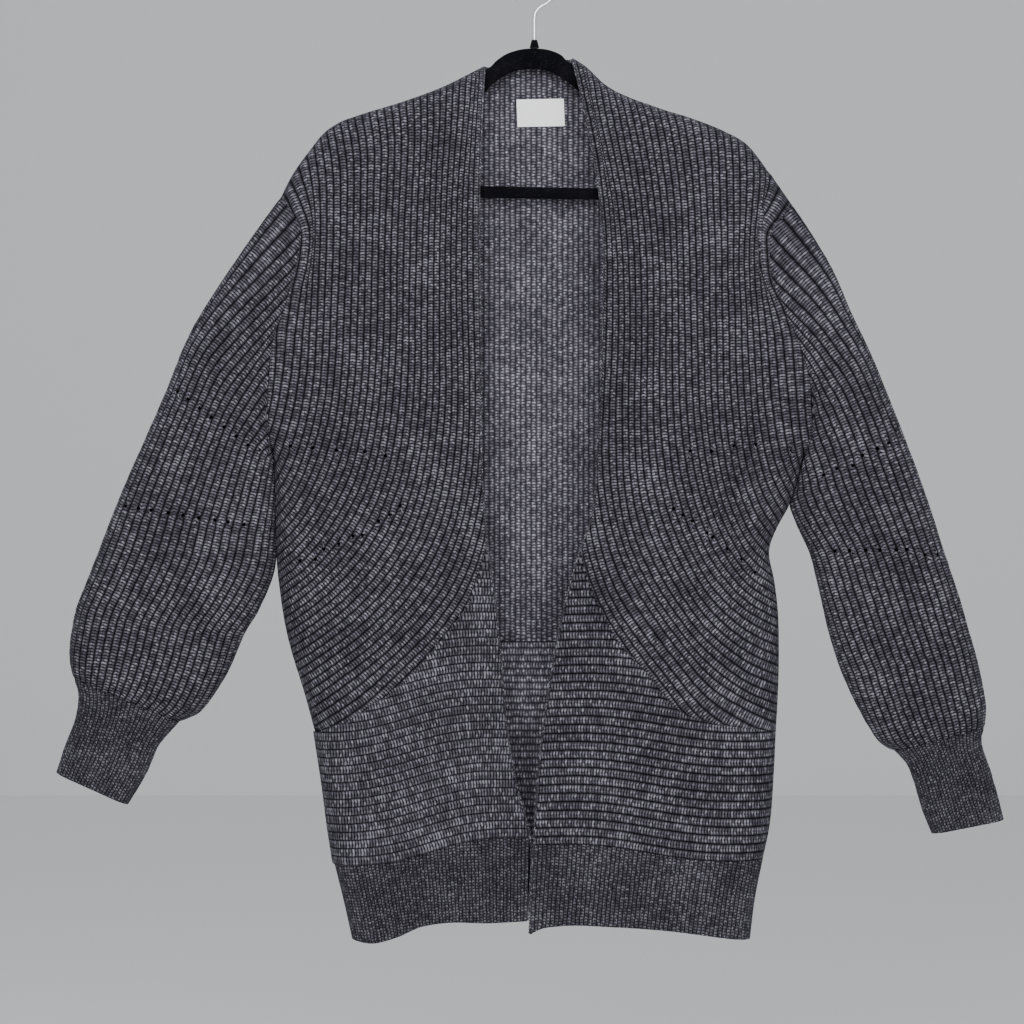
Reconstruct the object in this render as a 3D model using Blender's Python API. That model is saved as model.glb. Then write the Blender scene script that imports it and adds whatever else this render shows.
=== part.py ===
# Open-front cardigan on a hanger, a solid model in metres, +Z up, seen from the front along +Y.
#
# The outlines are drawn on a front-view layout sheet in millimetres, right and down. The point
# where the hanger's hook rests on its rail is at HANG_POINT on that sheet and at the model's
# origin. Every piece of cloth is a wall: an outer skin with its ribs raised, a plain inner skin,
# and rims that join the two. The cloth's depth at any place on the sheet comes from its distance
# to the outline, so neighbouring pieces meet along their seams.

from math import cos, pi, radians, sin

import bmesh
import bpy
import numpy as np

MM = 0.001
HANG_POINT = np.array([534.0, -35.0])
NAME = "open_front_cardigan_on_a_hanger"

# Cloth
WALL = 2.0
RIB_HEIGHT = 1.0
FINE_RIB_HEIGHT = 0.6
RIB_PITCH = 7.0
FINE_RIB_PITCH = 3.5
SEAM_GAP = 0.3
EDGE_ROUND = 24.0

# Where the body's middle is, and how near a line's end a bend may be to be left where it is
BODY_MIDDLE = np.array([537.0, 500.0])
SNAP_MARGIN = 0.03

# Half depth of the body, down the sheet
DEPTHS_DOWN = [60.0, 120.0, 220.0, 360.0, 600.0, 860.0, 945.0]
DEPTHS = [14.0, 16.0, 21.0, 24.0, 25.0, 24.0, 25.0]

# Outlines, each a list of (right, down). "right" and "left" are the wearer's sides, so the
# wearer's right side is on the left of the sheet.
SHOULDER = {
    "right": [(484, 66), (442, 87), (398, 103), (359, 115), (340, 122), (326, 131), (310, 150),
              (291, 177), (281, 197)],
    "left": [(573, 58), (584, 65), (606, 85), (656, 107), (694, 119), (724, 131), (744, 142),
             (767, 172), (791, 209)],
}
ARMHOLE = {
    "right": [(281, 197), (292, 212), (302, 230), (302, 245), (298, 266), (293, 285), (285, 313),
              (276, 336), (272, 358), (270, 385), (270, 420), (272, 450)],
    "left": [(791, 209), (780, 219), (770, 232), (768, 250), (771, 285), (782, 310), (792, 333),
             (801, 356), (808, 385), (810, 410), (809, 435), (804, 456)],
}
SIDE = {
    "right": [(272, 450), (273.5, 457), (274.5, 480), (275, 520), (276.5, 560), (281, 600),
              (285, 625), (291, 650), (304, 692), (315, 732), (323, 784), (329, 830), (334, 862),
              (343, 898), (352, 938)],
    "left": [(804, 456), (802, 462), (799.5, 473), (796, 488), (789, 506), (777, 528), (769, 550),
             (774, 578), (778, 610), (779, 646), (778, 696), (776, 730), (774, 772), (769, 830),
             (763, 858), (755, 898), (750, 938)],
}
FRONT_EDGE = {
    "right": [(484, 66), (481, 128), (479, 190), (480, 330), (483, 500), (487, 545)],
    "left": [(573, 58), (580, 90), (594, 160), (600, 200), (604, 250), (603, 330), (598, 450),
             (591, 520), (581, 548)],
}
MITRE = {
    "right": [(487, 545), (480, 571), (464, 610), (448, 631), (430, 653), (410, 677), (391, 692),
              (370, 706), (347, 721), (315, 732)],
    "left": [(581, 548), (588, 580), (603, 614), (612, 632), (626, 651), (644, 670), (662, 692),
             (679, 710), (703, 720), (740, 726), (776, 730)],
}
LOWER_EDGE = {
    "right": [(487, 545), (494, 597), (500, 657), (506, 726), (516, 784), (529, 834)],
    "left": [(581, 548), (567, 598), (555, 655), (545, 718), (538, 784), (534, 843)],
}
HEM_BOTTOM = {
    "right": [(527, 918), (490, 920), (444, 920), (421, 924), (398, 934), (375, 940), (352, 938)],
    "left": [(530, 931), (540, 926), (560, 923), (612, 924), (669, 928), (715, 934), (750, 938)],
}

# Ribs of the fronts that steer the others: share of the way from armhole to front edge, and the
# rib's own line from the shoulder to where it meets the side seam.
STEERING_RIBS = {
    "right": [
        (0.165, [(306, 156), (317, 203), (321, 257), (322, 311), (320, 364), (313, 418), (298, 469),
                 (275, 515)]),
        (0.37, [(365, 113), (369, 181), (367, 250), (364, 318), (359, 387), (346, 454), (319, 517),
                (277, 570)]),
        (0.62, [(421, 95), (419, 176), (415, 258), (413, 340), (408, 422), (388, 501), (346, 571),
                (284, 622)]),
        (0.875, [(465, 76), (462, 170), (460, 267), (463, 363), (461, 459), (434, 551), (378, 628),
                 (301, 681)]),
    ],
    "left": [
        (0.16, [(753, 153), (757, 200), (755, 254), (752, 308), (750, 362), (752, 416), (762, 468),
                (783, 517)]),
        (0.38, [(691, 118), (698, 184), (702, 252), (705, 320), (707, 388), (714, 455), (734, 519),
                (773, 573)]),
        (0.62, [(632, 97), (649, 179), (657, 262), (659, 345), (662, 428), (678, 510), (712, 585),
                (779, 625)]),
        (0.86, [(592, 72), (616, 160), (629, 256), (628, 353), (629, 449), (649, 544), (695, 628),
                (779, 675)]),
    ],
}
FRONT_RIBS = {"right": 30, "left": 27}
FRONT_INNER_STEP = {"right": 6, "left": 3}
FRONT_WIDTH = 200.0
BACK_WIDTH = 510.0
LOWER_RIBS = 33
LOWER_SAG = {"right": 5.0, "left": 4.0}
LOWER_FIRST_RIB = 0.02
LOWER_INNER_STEP = 6
LOWER_CORNER_STEPS = 6
LOWER_END_DOWN = {"right": 862, "left": 858}
LOWER_ROWS = [0.0, 0.45, 0.84, 0.965, 1.0]
MITRE_CLEARANCE = np.array([1.0, 2.0]) * SEAM_GAP
END_PINNING = 6

# Hem bands
HEM_HEIGHT = 80.0
HEM_ROWS = [0.0, 1.0]
HEM_INNER_STEP = 6

# Back
NECK_SAG = 3.0
BACK_JOIN_DOWN = 642.0
BACK_HEM_TOP_DOWN = 850.0
BACK_HEM_BOTTOM_DOWN = 916.0
BACK_HEM_CORNER_DROP = 20.0
BACK_RIBS = 72
BACK_ROWS = [0.0, 0.0045, 0.04, 0.1, 0.3, 0.57, 1.0]
BACK_INNER_STEP = 4
BACK_CALM_RIBS = 3
BACK_LOWER_ROWS = [0.0, 0.035, 0.075, 0.35, 0.65, 0.925, 0.965, 1.0]
BACK_LOWER_INNER_STEP = 6
NECK_LINE = [(510.0, 64.0), (528.0, 63.0), (550.0, 60.0)]

# Large folds of the fronts: side, line of the fold, half width, height outwards
FOLDS = [
    ("left", [(768, 345), (751, 435), (732, 492), (722, 540), (713, 580), (710, 650)], 13.0, -7.0),
    ("left", [(790, 380), (776, 450), (757, 505), (744, 545), (742, 590), (750, 640)], 16.0, 5.0),
    ("right", [(489, 690), (482, 728), (472, 780), (462, 822)], 14.0, -5.0),
    ("right", [(410, 720), (402, 790), (396, 870), (398, 930)], 20.0, 3.0),
    ("left", [(640, 740), (650, 800), (655, 870), (655, 925)], 24.0, 3.0),
]

# Sleeves: outer edge right, down, inner edge right, down, half depth. The first ring is the
# armhole itself, so only its depth is used.
SLEEVE_RINGS = {
    "right": [
        (281, 197, 272, 450, 22), (258, 229, 270.6, 451.5, 22), (231, 268, 269.6, 453.5, 22),
        (205, 308, 269.2, 456, 22), (186, 343, 269, 459, 22), (169, 386, 269, 464, 22),
        (149, 432, 269.3, 483, 22), (132, 470, 269.6, 507, 22), (116, 508, 270, 532, 23),
        (101, 547, 267, 572, 24), (87, 583, 257, 607, 26), (77, 610, 244, 634, 27),
        (71, 643, 224, 678, 27), (71, 663, 202, 709, 25), (74, 677, 180, 721, 20),
    ],
    "left": [
        (791, 209, 804, 456, 22), (812, 235, 805.4, 457.5, 22), (833, 271, 806.4, 459.5, 22),
        (852, 315, 807, 462, 22), (873, 360, 807.2, 466, 22), (898, 423, 806.6, 484, 22),
        (914, 466, 805, 507, 22), (930, 511, 808, 532, 22), (943, 552, 812, 554, 23),
        (956, 590, 821, 597, 24), (967, 628, 831, 637, 26), (975, 655, 842, 672, 27),
        (981, 682, 858, 706, 27), (985, 706, 877, 738, 25), (984, 726, 894, 750, 20),
    ],
}
# Cuffs: the same columns, below the ring at the sleeve's own end
CUFF_RINGS = {
    "right": [(79, 694, 168, 734, 16), (76, 718, 157, 748, 15), (65, 747, 146, 774, 15),
              (57, 772, 128, 804, 15)],
    "left": [(981, 742, 907, 764, 16), (990, 771, 915, 784, 15), (997, 795, 922, 808, 15),
             (1003, 819, 932, 833, 15)],
}
SLEEVE_RIBS = 48
SLEEVE_ROUND = 22.0
SLEEVE_LEAVES_BODY = 0.28
SLEEVE_SEAM_SHIFT = 0.35
UNDERARM_CLEARANCE = 10.0
SLEEVE_INNER_STEP = 4
CUFF_ROUND = 14.0
CUFF_RIBS = 52
SLEEVE_ROWS = [0.0, 0.07, 0.17, 0.3, 0.5, 0.7, 0.87, 1.0]
CUFF_ROWS = [0.0, 0.4, 1.0]
CUFF_INNER_STEP = 4

# Label: corners on the inside of the back's neck
LABEL_CORNERS = [(516.5, 98.0), (564.0, 98.0), (516.5, 125.0), (564.0, 125.0)]
LABEL_THICK = 0.6
LABEL_GAP = 0.3
LABEL_STEPS = (4, 2)

# Hanger: a flat velvet frame, its hook and the collar between them
HANGER_HALF_THICK = 2.5
HANGER_ROUND_CORNERS = 6
ARM_CLEARANCE = 0.8
ARM_HEIGHT = 21.0
ARCH = [(488.5, 68, 489.5, 87), (496, 61, 500, 79), (505, 54.7, 509, 73.7), (518, 50, 520, 70.2),
        (534, 48.4, 534, 69.5), (550, 50.2, 547, 71), (561, 54.8, 556, 74.8), (570, 62.8, 566, 81)]
ARM_SHARES = [0.035, 0.08, 0.13, 0.19, 0.27, 0.36, 0.45, 0.54, 0.58]
HANGER_TIP = {
    "right": [(335, 131, 343, 150), (324, 144, 343, 157), (320, 162, 343, 166),
              (322, 181, 345, 175), (333, 193, 354, 181)],
    "left": [(730, 140, 721, 160), (742, 151, 722, 167), (747, 170, 722, 176),
             (744, 190, 721, 184), (733, 202, 713, 190)],
}
BAR = [(360, 196, 369, 183.6), (478, 198, 478, 185.8), (600, 200, 600, 188.2), (706, 202, 697, 190)]
COLLAR_BOTTOM = 48.0
COLLAR_TOP = 40.0
COLLAR_RADII = (4.9, 2.8)
STEM_RIGHT = 534.4
WIRE_RADIUS = 1.65
STEM_STRAIGHT_DOWN = [30.0, 20.0]
STEM_BEND = [(534.4, 20.0), (535.0, 14.0), (538.4, 8.6)]
BEND_SHARES = (0.12, 0.86, 6)
HOOK_RADIUS = 22.0
HOOK_START = -55.0
HOOK_END = 222.0
HOOK_STEPS = 22

# Colours
YARN = (0.055, 0.048, 0.056)
VELVET = (0.008, 0.008, 0.010)
STEEL = (0.62, 0.62, 0.64)
WHITE = (0.85, 0.85, 0.84)


def smooth(knots, values, t):
    """Read a smooth curve through values at knots; values may hold one column for each t."""
    knots = np.asarray(knots, float)
    values = np.asarray(values, float)
    t = np.asarray(t, float)
    slopes = np.gradient(values, knots, axis=0)
    low = np.clip(np.searchsorted(knots, t, side="right") - 1, 0, len(knots) - 2)
    span = knots[low + 1] - knots[low]
    f = (t - knots[low]) / span
    pick = (low, np.arange(len(t))) if values.ndim == 3 else (low,)
    pick_next = (low + 1,) + pick[1:]
    f = f[:, None]
    span = span[:, None]
    return (values[pick] * (2 * f**3 - 3 * f**2 + 1) + slopes[pick] * span * (f**3 - 2 * f**2 + f)
            + values[pick_next] * (3 * f**2 - 2 * f**3) + slopes[pick_next] * span * (f**3 - f**2))


def along(points, t):
    """Points at shares t of the length of a smooth line."""
    points = np.asarray(points, float)
    steps = np.hypot(*np.diff(points, axis=0).T)
    knots = np.concatenate([[0.0], np.cumsum(steps)]) / steps.sum()
    return smooth(knots, points, t)


def chord(points, t):
    """Points at shares t of the length of a line of straight stretches."""
    steps = np.hypot(*np.diff(points, axis=0).T)
    knots = np.concatenate([[0.0], np.cumsum(steps)]) / steps.sum()
    return np.stack([np.interp(t, knots, points[:, k]) for k in range(2)], axis=-1)


def snapped(t, points, places):
    """Shares t of a line's length, shifted so that its bends fall on the nearest of some places."""
    steps = np.hypot(*np.diff(points, axis=0).T)
    knots = np.concatenate([[0.0], np.cumsum(steps)]) / steps.sum()
    knots = knots[(knots > SNAP_MARGIN) & (knots < 1 - SNAP_MARGIN)]
    inner = places[1:-1]
    chosen = inner[np.abs(inner[None, :] - knots[:, None]).argmin(axis=1)]
    chosen, first = np.unique(chosen, return_index=True)
    return np.interp(t, np.concatenate([[0.0], chosen, [1.0]]),
                     np.concatenate([[0.0], knots[first], [1.0]]))


def joined(*lines):
    """One list of points from lines that share their end points."""
    points = list(lines[0])
    for line in lines[1:]:
        points += list(line)[1:]
    return points


def round_in(share, length, radius, both_ends=False):
    """Share of a flat length for a share of the cloth's length, which turns in at its far end."""
    turn = radius * pi / 2
    flat = length - radius * (2 if both_ends else 1)
    total = flat + turn * (2 if both_ends else 1)
    run = np.asarray(share, float) * total
    start = turn if both_ends else 0.0
    near = radius * (1 - np.cos(np.clip(run / turn, 0, 1) * pi / 2))
    middle = np.clip(run - start, 0, flat)
    far = radius * np.sin(np.clip((run - start - flat) / turn, 0, 1) * pi / 2)
    return ((near if both_ends else 0.0) + middle + far) / length


def nearest(points, line):
    """Distance from each point to a line on the sheet, and the unit direction away from it."""
    line = np.asarray(line, float)
    start = line[:-1]
    step = line[1:] - start
    offset = points[:, None, :] - start
    reach = np.clip((offset * step).sum(-1) / (step**2).sum(-1), 0, 1)
    away = offset - reach[..., None] * step
    distance = np.hypot(away[..., 0], away[..., 1])
    best = distance.argmin(axis=1)
    rows = np.arange(len(points))
    distance = distance[rows, best]
    away = away[rows, best]
    normal = np.stack([-step[best, 1], step[best, 0]], axis=-1)
    normal /= np.hypot(normal[:, 0], normal[:, 1])[:, None]
    inward = BODY_MIDDLE - points
    normal *= np.sign((normal * inward).sum(-1))[:, None]
    on_line = distance < 0.05
    direction = np.where(on_line[:, None], normal, away / np.maximum(distance, 1e-6)[:, None])
    return distance, direction


FINE_STEPS = np.linspace(0, 1, 61)


def closed_lines():
    """Outlines at which the body's front and back meet, on the sheet."""
    lines = []
    for side in ("right", "left"):
        sleeve_start = [ring[:2] for ring in SLEEVE_RINGS[side][:4]]
        lines.append(along(joined(SHOULDER[side], sleeve_start), FINE_STEPS))
        lines.append(along(SIDE[side], FINE_STEPS))
    return lines


CLOSED_LINES = closed_lines()


def fold_height(points, side):
    """How far the large folds push the cloth outwards."""
    height = np.zeros(len(points))
    for fold_side, line, half_width, rise in FOLDS:
        if fold_side != side:
            continue
        path = along(line, np.linspace(0, 1, 25))
        offset = np.hypot(*(points[:, None, :] - path).transpose(2, 0, 1))
        place = offset.argmin(axis=1) / (len(path) - 1)
        fade = np.sin(np.clip(place, 0.04, 0.96) * pi)
        height += rise * fade * np.exp(-(offset.min(axis=1) / half_width) ** 2)
    return height


def wrap(distance, direction, radius, depth, inset):
    """Turn of the cloth round an edge: its shift on the sheet and its depth, at an inset."""
    turn = 1 - np.clip(distance / radius, 0, 1)
    rise = np.sqrt(1 - turn**2)
    normal_in = depth * turn
    normal_out = radius * rise
    size = np.hypot(normal_in, normal_out)
    shift = direction * (inset * normal_in / size)[:, None]
    return shift, depth * rise - inset * normal_out / size


def edge_frame(points):
    """Distance of each point to the outline where front and back meet, and the way inwards."""
    found = [nearest(points, line) for line in CLOSED_LINES]
    distances = np.array([item[0] for item in found])
    best = distances.argmin(axis=0)
    rows = np.arange(len(points))
    return distances[best, rows], np.array([item[1] for item in found])[best, rows]


def half_depth(points):
    """Half depth of the body away from its edges."""
    return smooth(DEPTHS_DOWN, np.array(DEPTHS)[:, None], points[:, 1])[:, 0]


def body(points, sign, inset, side=None):
    """Cloth of the body over points on the sheet: sign -1 is the front, +1 the back."""
    distance, direction = edge_frame(points)
    shift, level = wrap(distance, direction, EDGE_ROUND, half_depth(points), inset)
    if side:
        level = level + fold_height(points, side) * np.clip(distance / EDGE_ROUND, 0, 1)
    return to_model(points + shift, sign * (level + SEAM_GAP / 2))


def to_model(points, depth):
    """Points on the sheet, and their depth, as model coordinates in metres."""
    right = points[:, 0] - HANG_POINT[0]
    down = points[:, 1] - HANG_POINT[1]
    return np.stack([right, depth, -down], axis=-1) * MM


def front_points(side, u, v):
    """Places on a front: u runs from the armhole to the front edge, v down along the ribs."""
    guides = [(0.0, ARMHOLE[side])] + STEERING_RIBS[side]
    guides.append((1.0, joined(FRONT_EDGE[side], MITRE[side])))
    lines = np.array([along(line, v) for _, line in guides])
    points = smooth([share for share, _ in guides], lines, u)
    starts = smooth([share for share, _ in guides], [line[0] for _, line in guides], u)
    ends = smooth([share for share, _ in guides], [line[-1] for _, line in guides], u)
    top = along(SHOULDER[side], FINE_STEPS)
    top = top[np.argsort(top[:, 0])]
    outline = along(SIDE[side], FINE_STEPS)
    lift = np.interp(starts[:, 0], top[:, 0], top[:, 1]) - starts[:, 1]
    push = np.interp(ends[:, 1], outline[:, 1], outline[:, 0]) - ends[:, 0]
    points[:, 1] += lift * (1 - v) ** END_PINNING
    points[:, 0] += push * v**END_PINNING
    return points


def front_rows(side):
    """Stations down the fronts' ribs, close together where the cloth turns over at its ends."""
    edge = np.hypot(*np.diff(FRONT_EDGE[side], axis=0).T).sum()
    mitre = np.hypot(*np.diff(MITRE[side], axis=0).T).sum()
    corner = edge / (edge + mitre)
    return [0.0, 0.0054, 0.05, 0.2, 0.36, 0.52, corner, 0.75, 0.86, 0.95, 0.9946, 1.0]


def lower_points(side, u, v):
    """Places on a lower front: u runs down from rib to rib, v from the front edge outwards."""
    inner_share = LOWER_INNER_STEP / (2 * LOWER_RIBS)
    corner = LOWER_FIRST_RIB + (1 - LOWER_FIRST_RIB) * LOWER_CORNER_STEPS * inner_share
    inner_columns = np.arange(LOWER_CORNER_STEPS + 1) / LOWER_CORNER_STEPS
    rows = np.array(front_rows(side)[6:])
    mitre = front_points(side, np.ones(len(rows)), rows)
    side_line = side_stretch(side, MITRE[side][-1][1], LOWER_END_DOWN[side])
    start = along(LOWER_EDGE[side], u)
    mitre += MITRE_CLEARANCE * (1 if side == "right" else -1, 1)
    share = np.clip((u - LOWER_FIRST_RIB) / (corner - LOWER_FIRST_RIB), 0, 1)
    share = snapped(share, mitre, inner_columns)
    first = LOWER_FIRST_RIB * (1 - share)
    on_mitre = chord(mitre, first + (1 - first) * share)
    on_side = along(side_line, np.clip((u - corner) / (1 - corner), 0, 1))
    end = np.where((u < corner)[:, None], on_mitre, on_side)
    points = start + (end - start) * v[:, None]
    points[:, 1] -= LOWER_SAG[side] * np.sin(2 * pi * v) * u
    return points


def side_stretch(side, top, bottom):
    """The part of a side outline between two heights."""
    return [point for point in SIDE[side] if top <= point[1] <= bottom]


def hem_points(side, u, v):
    """Places on a front hem band: u runs from the front edge outwards, v down."""
    rows = np.array(LOWER_ROWS)
    top = chord(lower_points(side, np.ones(len(rows)), rows), u)
    bottom = along(HEM_BOTTOM[side], u)
    outline = side_stretch(side, LOWER_END_DOWN[side], SIDE[side][-1][1])
    straight = np.array(outline[0]) + np.subtract(outline[-1], outline[0]) * v[:, None]
    bulge = along(outline, v) - straight
    return top + (bottom - top) * v[:, None] + bulge * (u**4)[:, None]


def back_edges(down):
    """Left and right edges of the back at heights on the sheet."""
    edges = []
    for side in ("right", "left"):
        line = along(joined(ARMHOLE[side], SIDE[side]), np.linspace(0, 1, 121))
        edges.append(np.interp(down, line[:, 1], line[:, 0]))
    return edges


def back_points(u, v):
    """Places on the upper back: u runs from the wearer's right to left, v down."""
    start = ARMHOLE["right"][0][0]
    end = ARMHOLE["left"][0][0]
    right = start + (end - start) * u
    neck = [(across, down + NECK_SAG) for across, down in NECK_LINE]
    line = along(SHOULDER["right"][::-1], FINE_STEPS).tolist() + neck
    line += along(SHOULDER["left"], FINE_STEPS).tolist()
    line = np.array(line)
    top = np.interp(right, line[:, 0], line[:, 1])
    down = top + (BACK_JOIN_DOWN - top) * v
    low, high = back_edges(down)
    return np.stack([low + (high - low) * u, down], axis=-1)


def band_points(top, bottom, corner_drop=0.0):
    """Places on a band across the back: u down, v from the wearer's right to left."""
    def places(u, v):
        down = top + (bottom + corner_drop * np.abs(2 * v - 1) ** 4 - top) * u
        low, high = back_edges(down)
        return np.stack([low + (high - low) * v, down], axis=-1)
    return places


def ring_section(rings, u, v, inset, radius):
    """Tube through flat rings: u runs round, from the outer edge over the front, v along."""
    rings = np.asarray(rings, float)
    knots = np.linspace(0, 1, len(rings))
    ring = smooth(knots, rings, v)
    outer = ring[:, 0:2]
    across = ring[:, 2:4] - outer
    width = np.hypot(across[:, 0], across[:, 1])
    half = np.where(u <= 0.5, 2 * u, 2 - 2 * u)
    sign = np.where(u <= 0.5, -1.0, 1.0)
    share = round_in(half, width, radius, both_ends=True)
    distance = np.minimum(share, 1 - share) * width
    unit = across / width[:, None]
    direction = unit * np.where(share < 0.5, 1.0, -1.0)[:, None]
    shift, level = wrap(distance, direction, radius, ring[:, 4], inset)
    return outer + across * share[:, None] + shift, sign * level, share, sign


def armhole_seams(side):
    """The armhole as the front's and the back's own straight stretches draw it."""
    rows = np.array(front_rows(side))
    front = front_points(side, np.zeros(len(rows)), rows)
    rows = np.array(BACK_ROWS)
    back = back_points(np.full(len(rows), 0.0 if side == "right" else 1.0), rows)
    back = back[back[:, 1] < ARMHOLE[side][-1][1] - UNDERARM_CLEARANCE]
    return front, np.vstack([back, ARMHOLE[side][-1:]])


def sleeve(side, u, v, inset):
    """Cloth of a sleeve, which leaves the body along the armhole and turns to its own section."""
    rings = SLEEVE_RINGS[side]
    points, level, share, sign = ring_section(rings, u, v, inset, SLEEVE_ROUND)
    plain, plain_level, _, _ = ring_section(rings, u, v, np.zeros(len(u)), SLEEVE_ROUND)
    leave = np.clip(v / SLEEVE_LEAVES_BODY, 0, 1)
    stay = 1 - leave * leave * (3 - 2 * leave)
    front, back = armhole_seams(side)
    width = np.hypot(*np.subtract(rings[0][2:4], rings[0][:2]))
    places = np.arange(0, SLEEVE_RIBS + 1, SLEEVE_INNER_STEP) / SLEEVE_RIBS
    places = round_in(places, width, SLEEVE_ROUND, both_ends=True)
    seam = np.where((sign < 0)[:, None], chord(front, snapped(share, front, places)),
                    chord(back, snapped(share, back, places)))
    first = np.array(rings[0], float)
    bow = (seam - first[:2] - (first[2:4] - first[:2]) * share[:, None]) * stay[:, None]
    distance, direction = edge_frame(plain + bow)
    _, body_level = wrap(distance, direction, EDGE_ROUND, half_depth(plain + bow), 0.0)
    level = level + (sign * body_level - plain_level) * stay
    points = points + bow
    points[:, 0] += SLEEVE_SEAM_SHIFT * stay * (-1 if side == "right" else 1)
    return to_model(points, level)


def cuff(side, u, v, inset):
    """Cloth of a cuff, from just below the sleeve's last ring."""
    first = np.array(SLEEVE_RINGS[side][-1], float)
    across = first[2:4] - first[:2]
    below = np.array([-across[1], across[0]]) / np.hypot(*across)
    below *= SEAM_GAP * np.sign(below[1])
    first[:4] += np.tile(below, 2)
    rings = np.vstack([first, CUFF_RINGS[side]])
    points, level, _, _ = ring_section(rings, u, v, inset, CUFF_ROUND)
    return to_model(points, level)


def skin(mesh, columns, rows, place, closed):
    """One skin of a wall: a grid laid out by place(u, v). Returns its vertices by column and row."""
    across = len(columns) - 1
    down = len(rows) - 1
    made = bmesh.ops.create_grid(mesh, x_segments=across, y_segments=down, size=0.5)["verts"]
    cells = [(round((vert.co.x + 0.5) * across), round((vert.co.y + 0.5) * down)) for vert in made]
    u = np.array([columns[i] for i, _ in cells])
    v = np.array([rows[j] for _, j in cells])
    for vert, position in zip(made, place(u, v)):
        vert.co = position
    grid = dict(zip(cells, made))
    if closed:
        twins = {grid[(across, j)]: grid[(0, j)] for j in range(down + 1)}
        bmesh.ops.weld_verts(mesh, targetmap=twins)
        grid.update({(across, j): grid[(0, j)] for j in range(down + 1)})
    return grid


def zip_rims(mesh, first, second):
    """Fill the strip between two rims, lists of (place, vertex) that run the same way."""
    i = 0
    j = 0
    while i < len(first) - 1 or j < len(second) - 1:
        next_first = first[i + 1][0] if i < len(first) - 1 else 2.0
        next_second = second[j + 1][0] if j < len(second) - 1 else 2.0
        corners = [second[j][1], first[i][1]]
        if next_first <= next_second:
            i += 1
            corners.append(first[i][1])
        if next_second <= next_first:
            j += 1
            corners.append(second[j][1])
        mesh.faces.new(corners)


def wall(name, columns, rows, surface, relief, inner_step, closed=False):
    """A wall of cloth. surface(u, v, inset) gives its places and relief(u) its ribs' height."""
    mesh = bmesh.new()
    inner_columns = columns[::inner_step]
    outer = skin(mesh, columns, rows, lambda u, v: surface(u, v, -relief(u)), closed)
    inner = skin(mesh, inner_columns, rows,
                 lambda u, v: surface(u, v, np.full(len(u), WALL)), closed)
    for j in (0, len(rows) - 1):
        zip_rims(mesh, [(place, outer[(i, j)]) for i, place in enumerate(columns)],
                 [(place, inner[(i, j)]) for i, place in enumerate(inner_columns)])
    if not closed:
        for i, k in ((0, 0), (len(columns) - 1, len(inner_columns) - 1)):
            zip_rims(mesh, [(place, outer[(i, j)]) for j, place in enumerate(rows)],
                     [(place, inner[(k, j)]) for j, place in enumerate(rows)])
    bmesh.ops.recalc_face_normals(mesh, faces=mesh.faces)
    return finish(name, mesh)


def finish(name, mesh):
    """Store a mesh as a named object of the collection."""
    data = bpy.data.meshes.new(name)
    mesh.to_mesh(data)
    mesh.free()
    piece = bpy.data.objects.new(name, data)
    collection.objects.link(piece)
    return piece


def ribs(count, height):
    """Height of ribs at u, for columns that stand on each rib's ridge and in each groove."""
    return lambda u: height * (np.round(u * count * 2).astype(int) % 2)


def rib_columns(count):
    """Columns for a number of ribs, two for each."""
    return [k / (2 * count) for k in range(2 * count + 1)]


def paint(piece, colour, roughness, metallic=0.0):
    """Give a piece a material of its own."""
    material = bpy.data.materials.new(piece.name)
    material.use_nodes = True
    shader = material.node_tree.nodes["Principled BSDF"]
    shader.inputs["Base Color"].default_value = (*colour, 1.0)
    shader.inputs["Roughness"].default_value = roughness
    shader.inputs["Metallic"].default_value = metallic
    piece.data.materials.append(material)


def make_fronts():
    """The two fronts, whose ribs sweep from the shoulders round to the side seams."""
    margin = SEAM_GAP / 2 / FRONT_WIDTH
    for side in ("right", "left"):

        def surface(u, v, inset, side=side):
            return body(front_points(side, margin + (1 - 2 * margin) * u, v), -1, inset, side=side)

        count = FRONT_RIBS[side]
        piece = wall("front_" + side, rib_columns(count), front_rows(side), surface,
                     ribs(count, RIB_HEIGHT), FRONT_INNER_STEP[side])
        paint(piece, YARN, 0.9)


def make_lower_fronts():
    """The lower fronts, ribbed across, which meet the upper fronts at the mitre."""
    for side in ("right", "left"):

        def surface(u, v, inset, side=side):
            u = LOWER_FIRST_RIB + (1 - LOWER_FIRST_RIB) * u * (1 - SEAM_GAP / 2 / FRONT_WIDTH)
            return body(lower_points(side, u, v), -1, inset, side=side)

        piece = wall("front_lower_" + side, rib_columns(LOWER_RIBS), LOWER_ROWS, surface,
                     ribs(LOWER_RIBS, RIB_HEIGHT), LOWER_INNER_STEP)
        paint(piece, YARN, 0.9)


def make_hems():
    """Fine-ribbed hem bands of the fronts and the back."""
    count = round(FRONT_WIDTH / FINE_RIB_PITCH)
    margin = SEAM_GAP / HEM_HEIGHT
    for side in ("right", "left"):

        def surface(u, v, inset, side=side):
            across = round_in(u, FRONT_WIDTH, EDGE_ROUND)
            return body(hem_points(side, across, margin + (1 - margin) * v), -1, inset, side)

        piece = wall("hem_front_" + side, rib_columns(count), HEM_ROWS, surface,
                     ribs(count, FINE_RIB_HEIGHT), HEM_INNER_STEP)
        paint(piece, YARN, 0.9)
    places = band_points(BACK_HEM_TOP_DOWN + SEAM_GAP, BACK_HEM_BOTTOM_DOWN, BACK_HEM_CORNER_DROP)
    count *= 2

    def back_surface(u, v, inset):
        return body(places(v, round_in(u, 2 * FRONT_WIDTH, EDGE_ROUND, True)), 1, inset)

    piece = wall("hem_back", rib_columns(count), HEM_ROWS, back_surface,
                 ribs(count, FINE_RIB_HEIGHT), HEM_INNER_STEP)
    paint(piece, YARN, 0.9)


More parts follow.
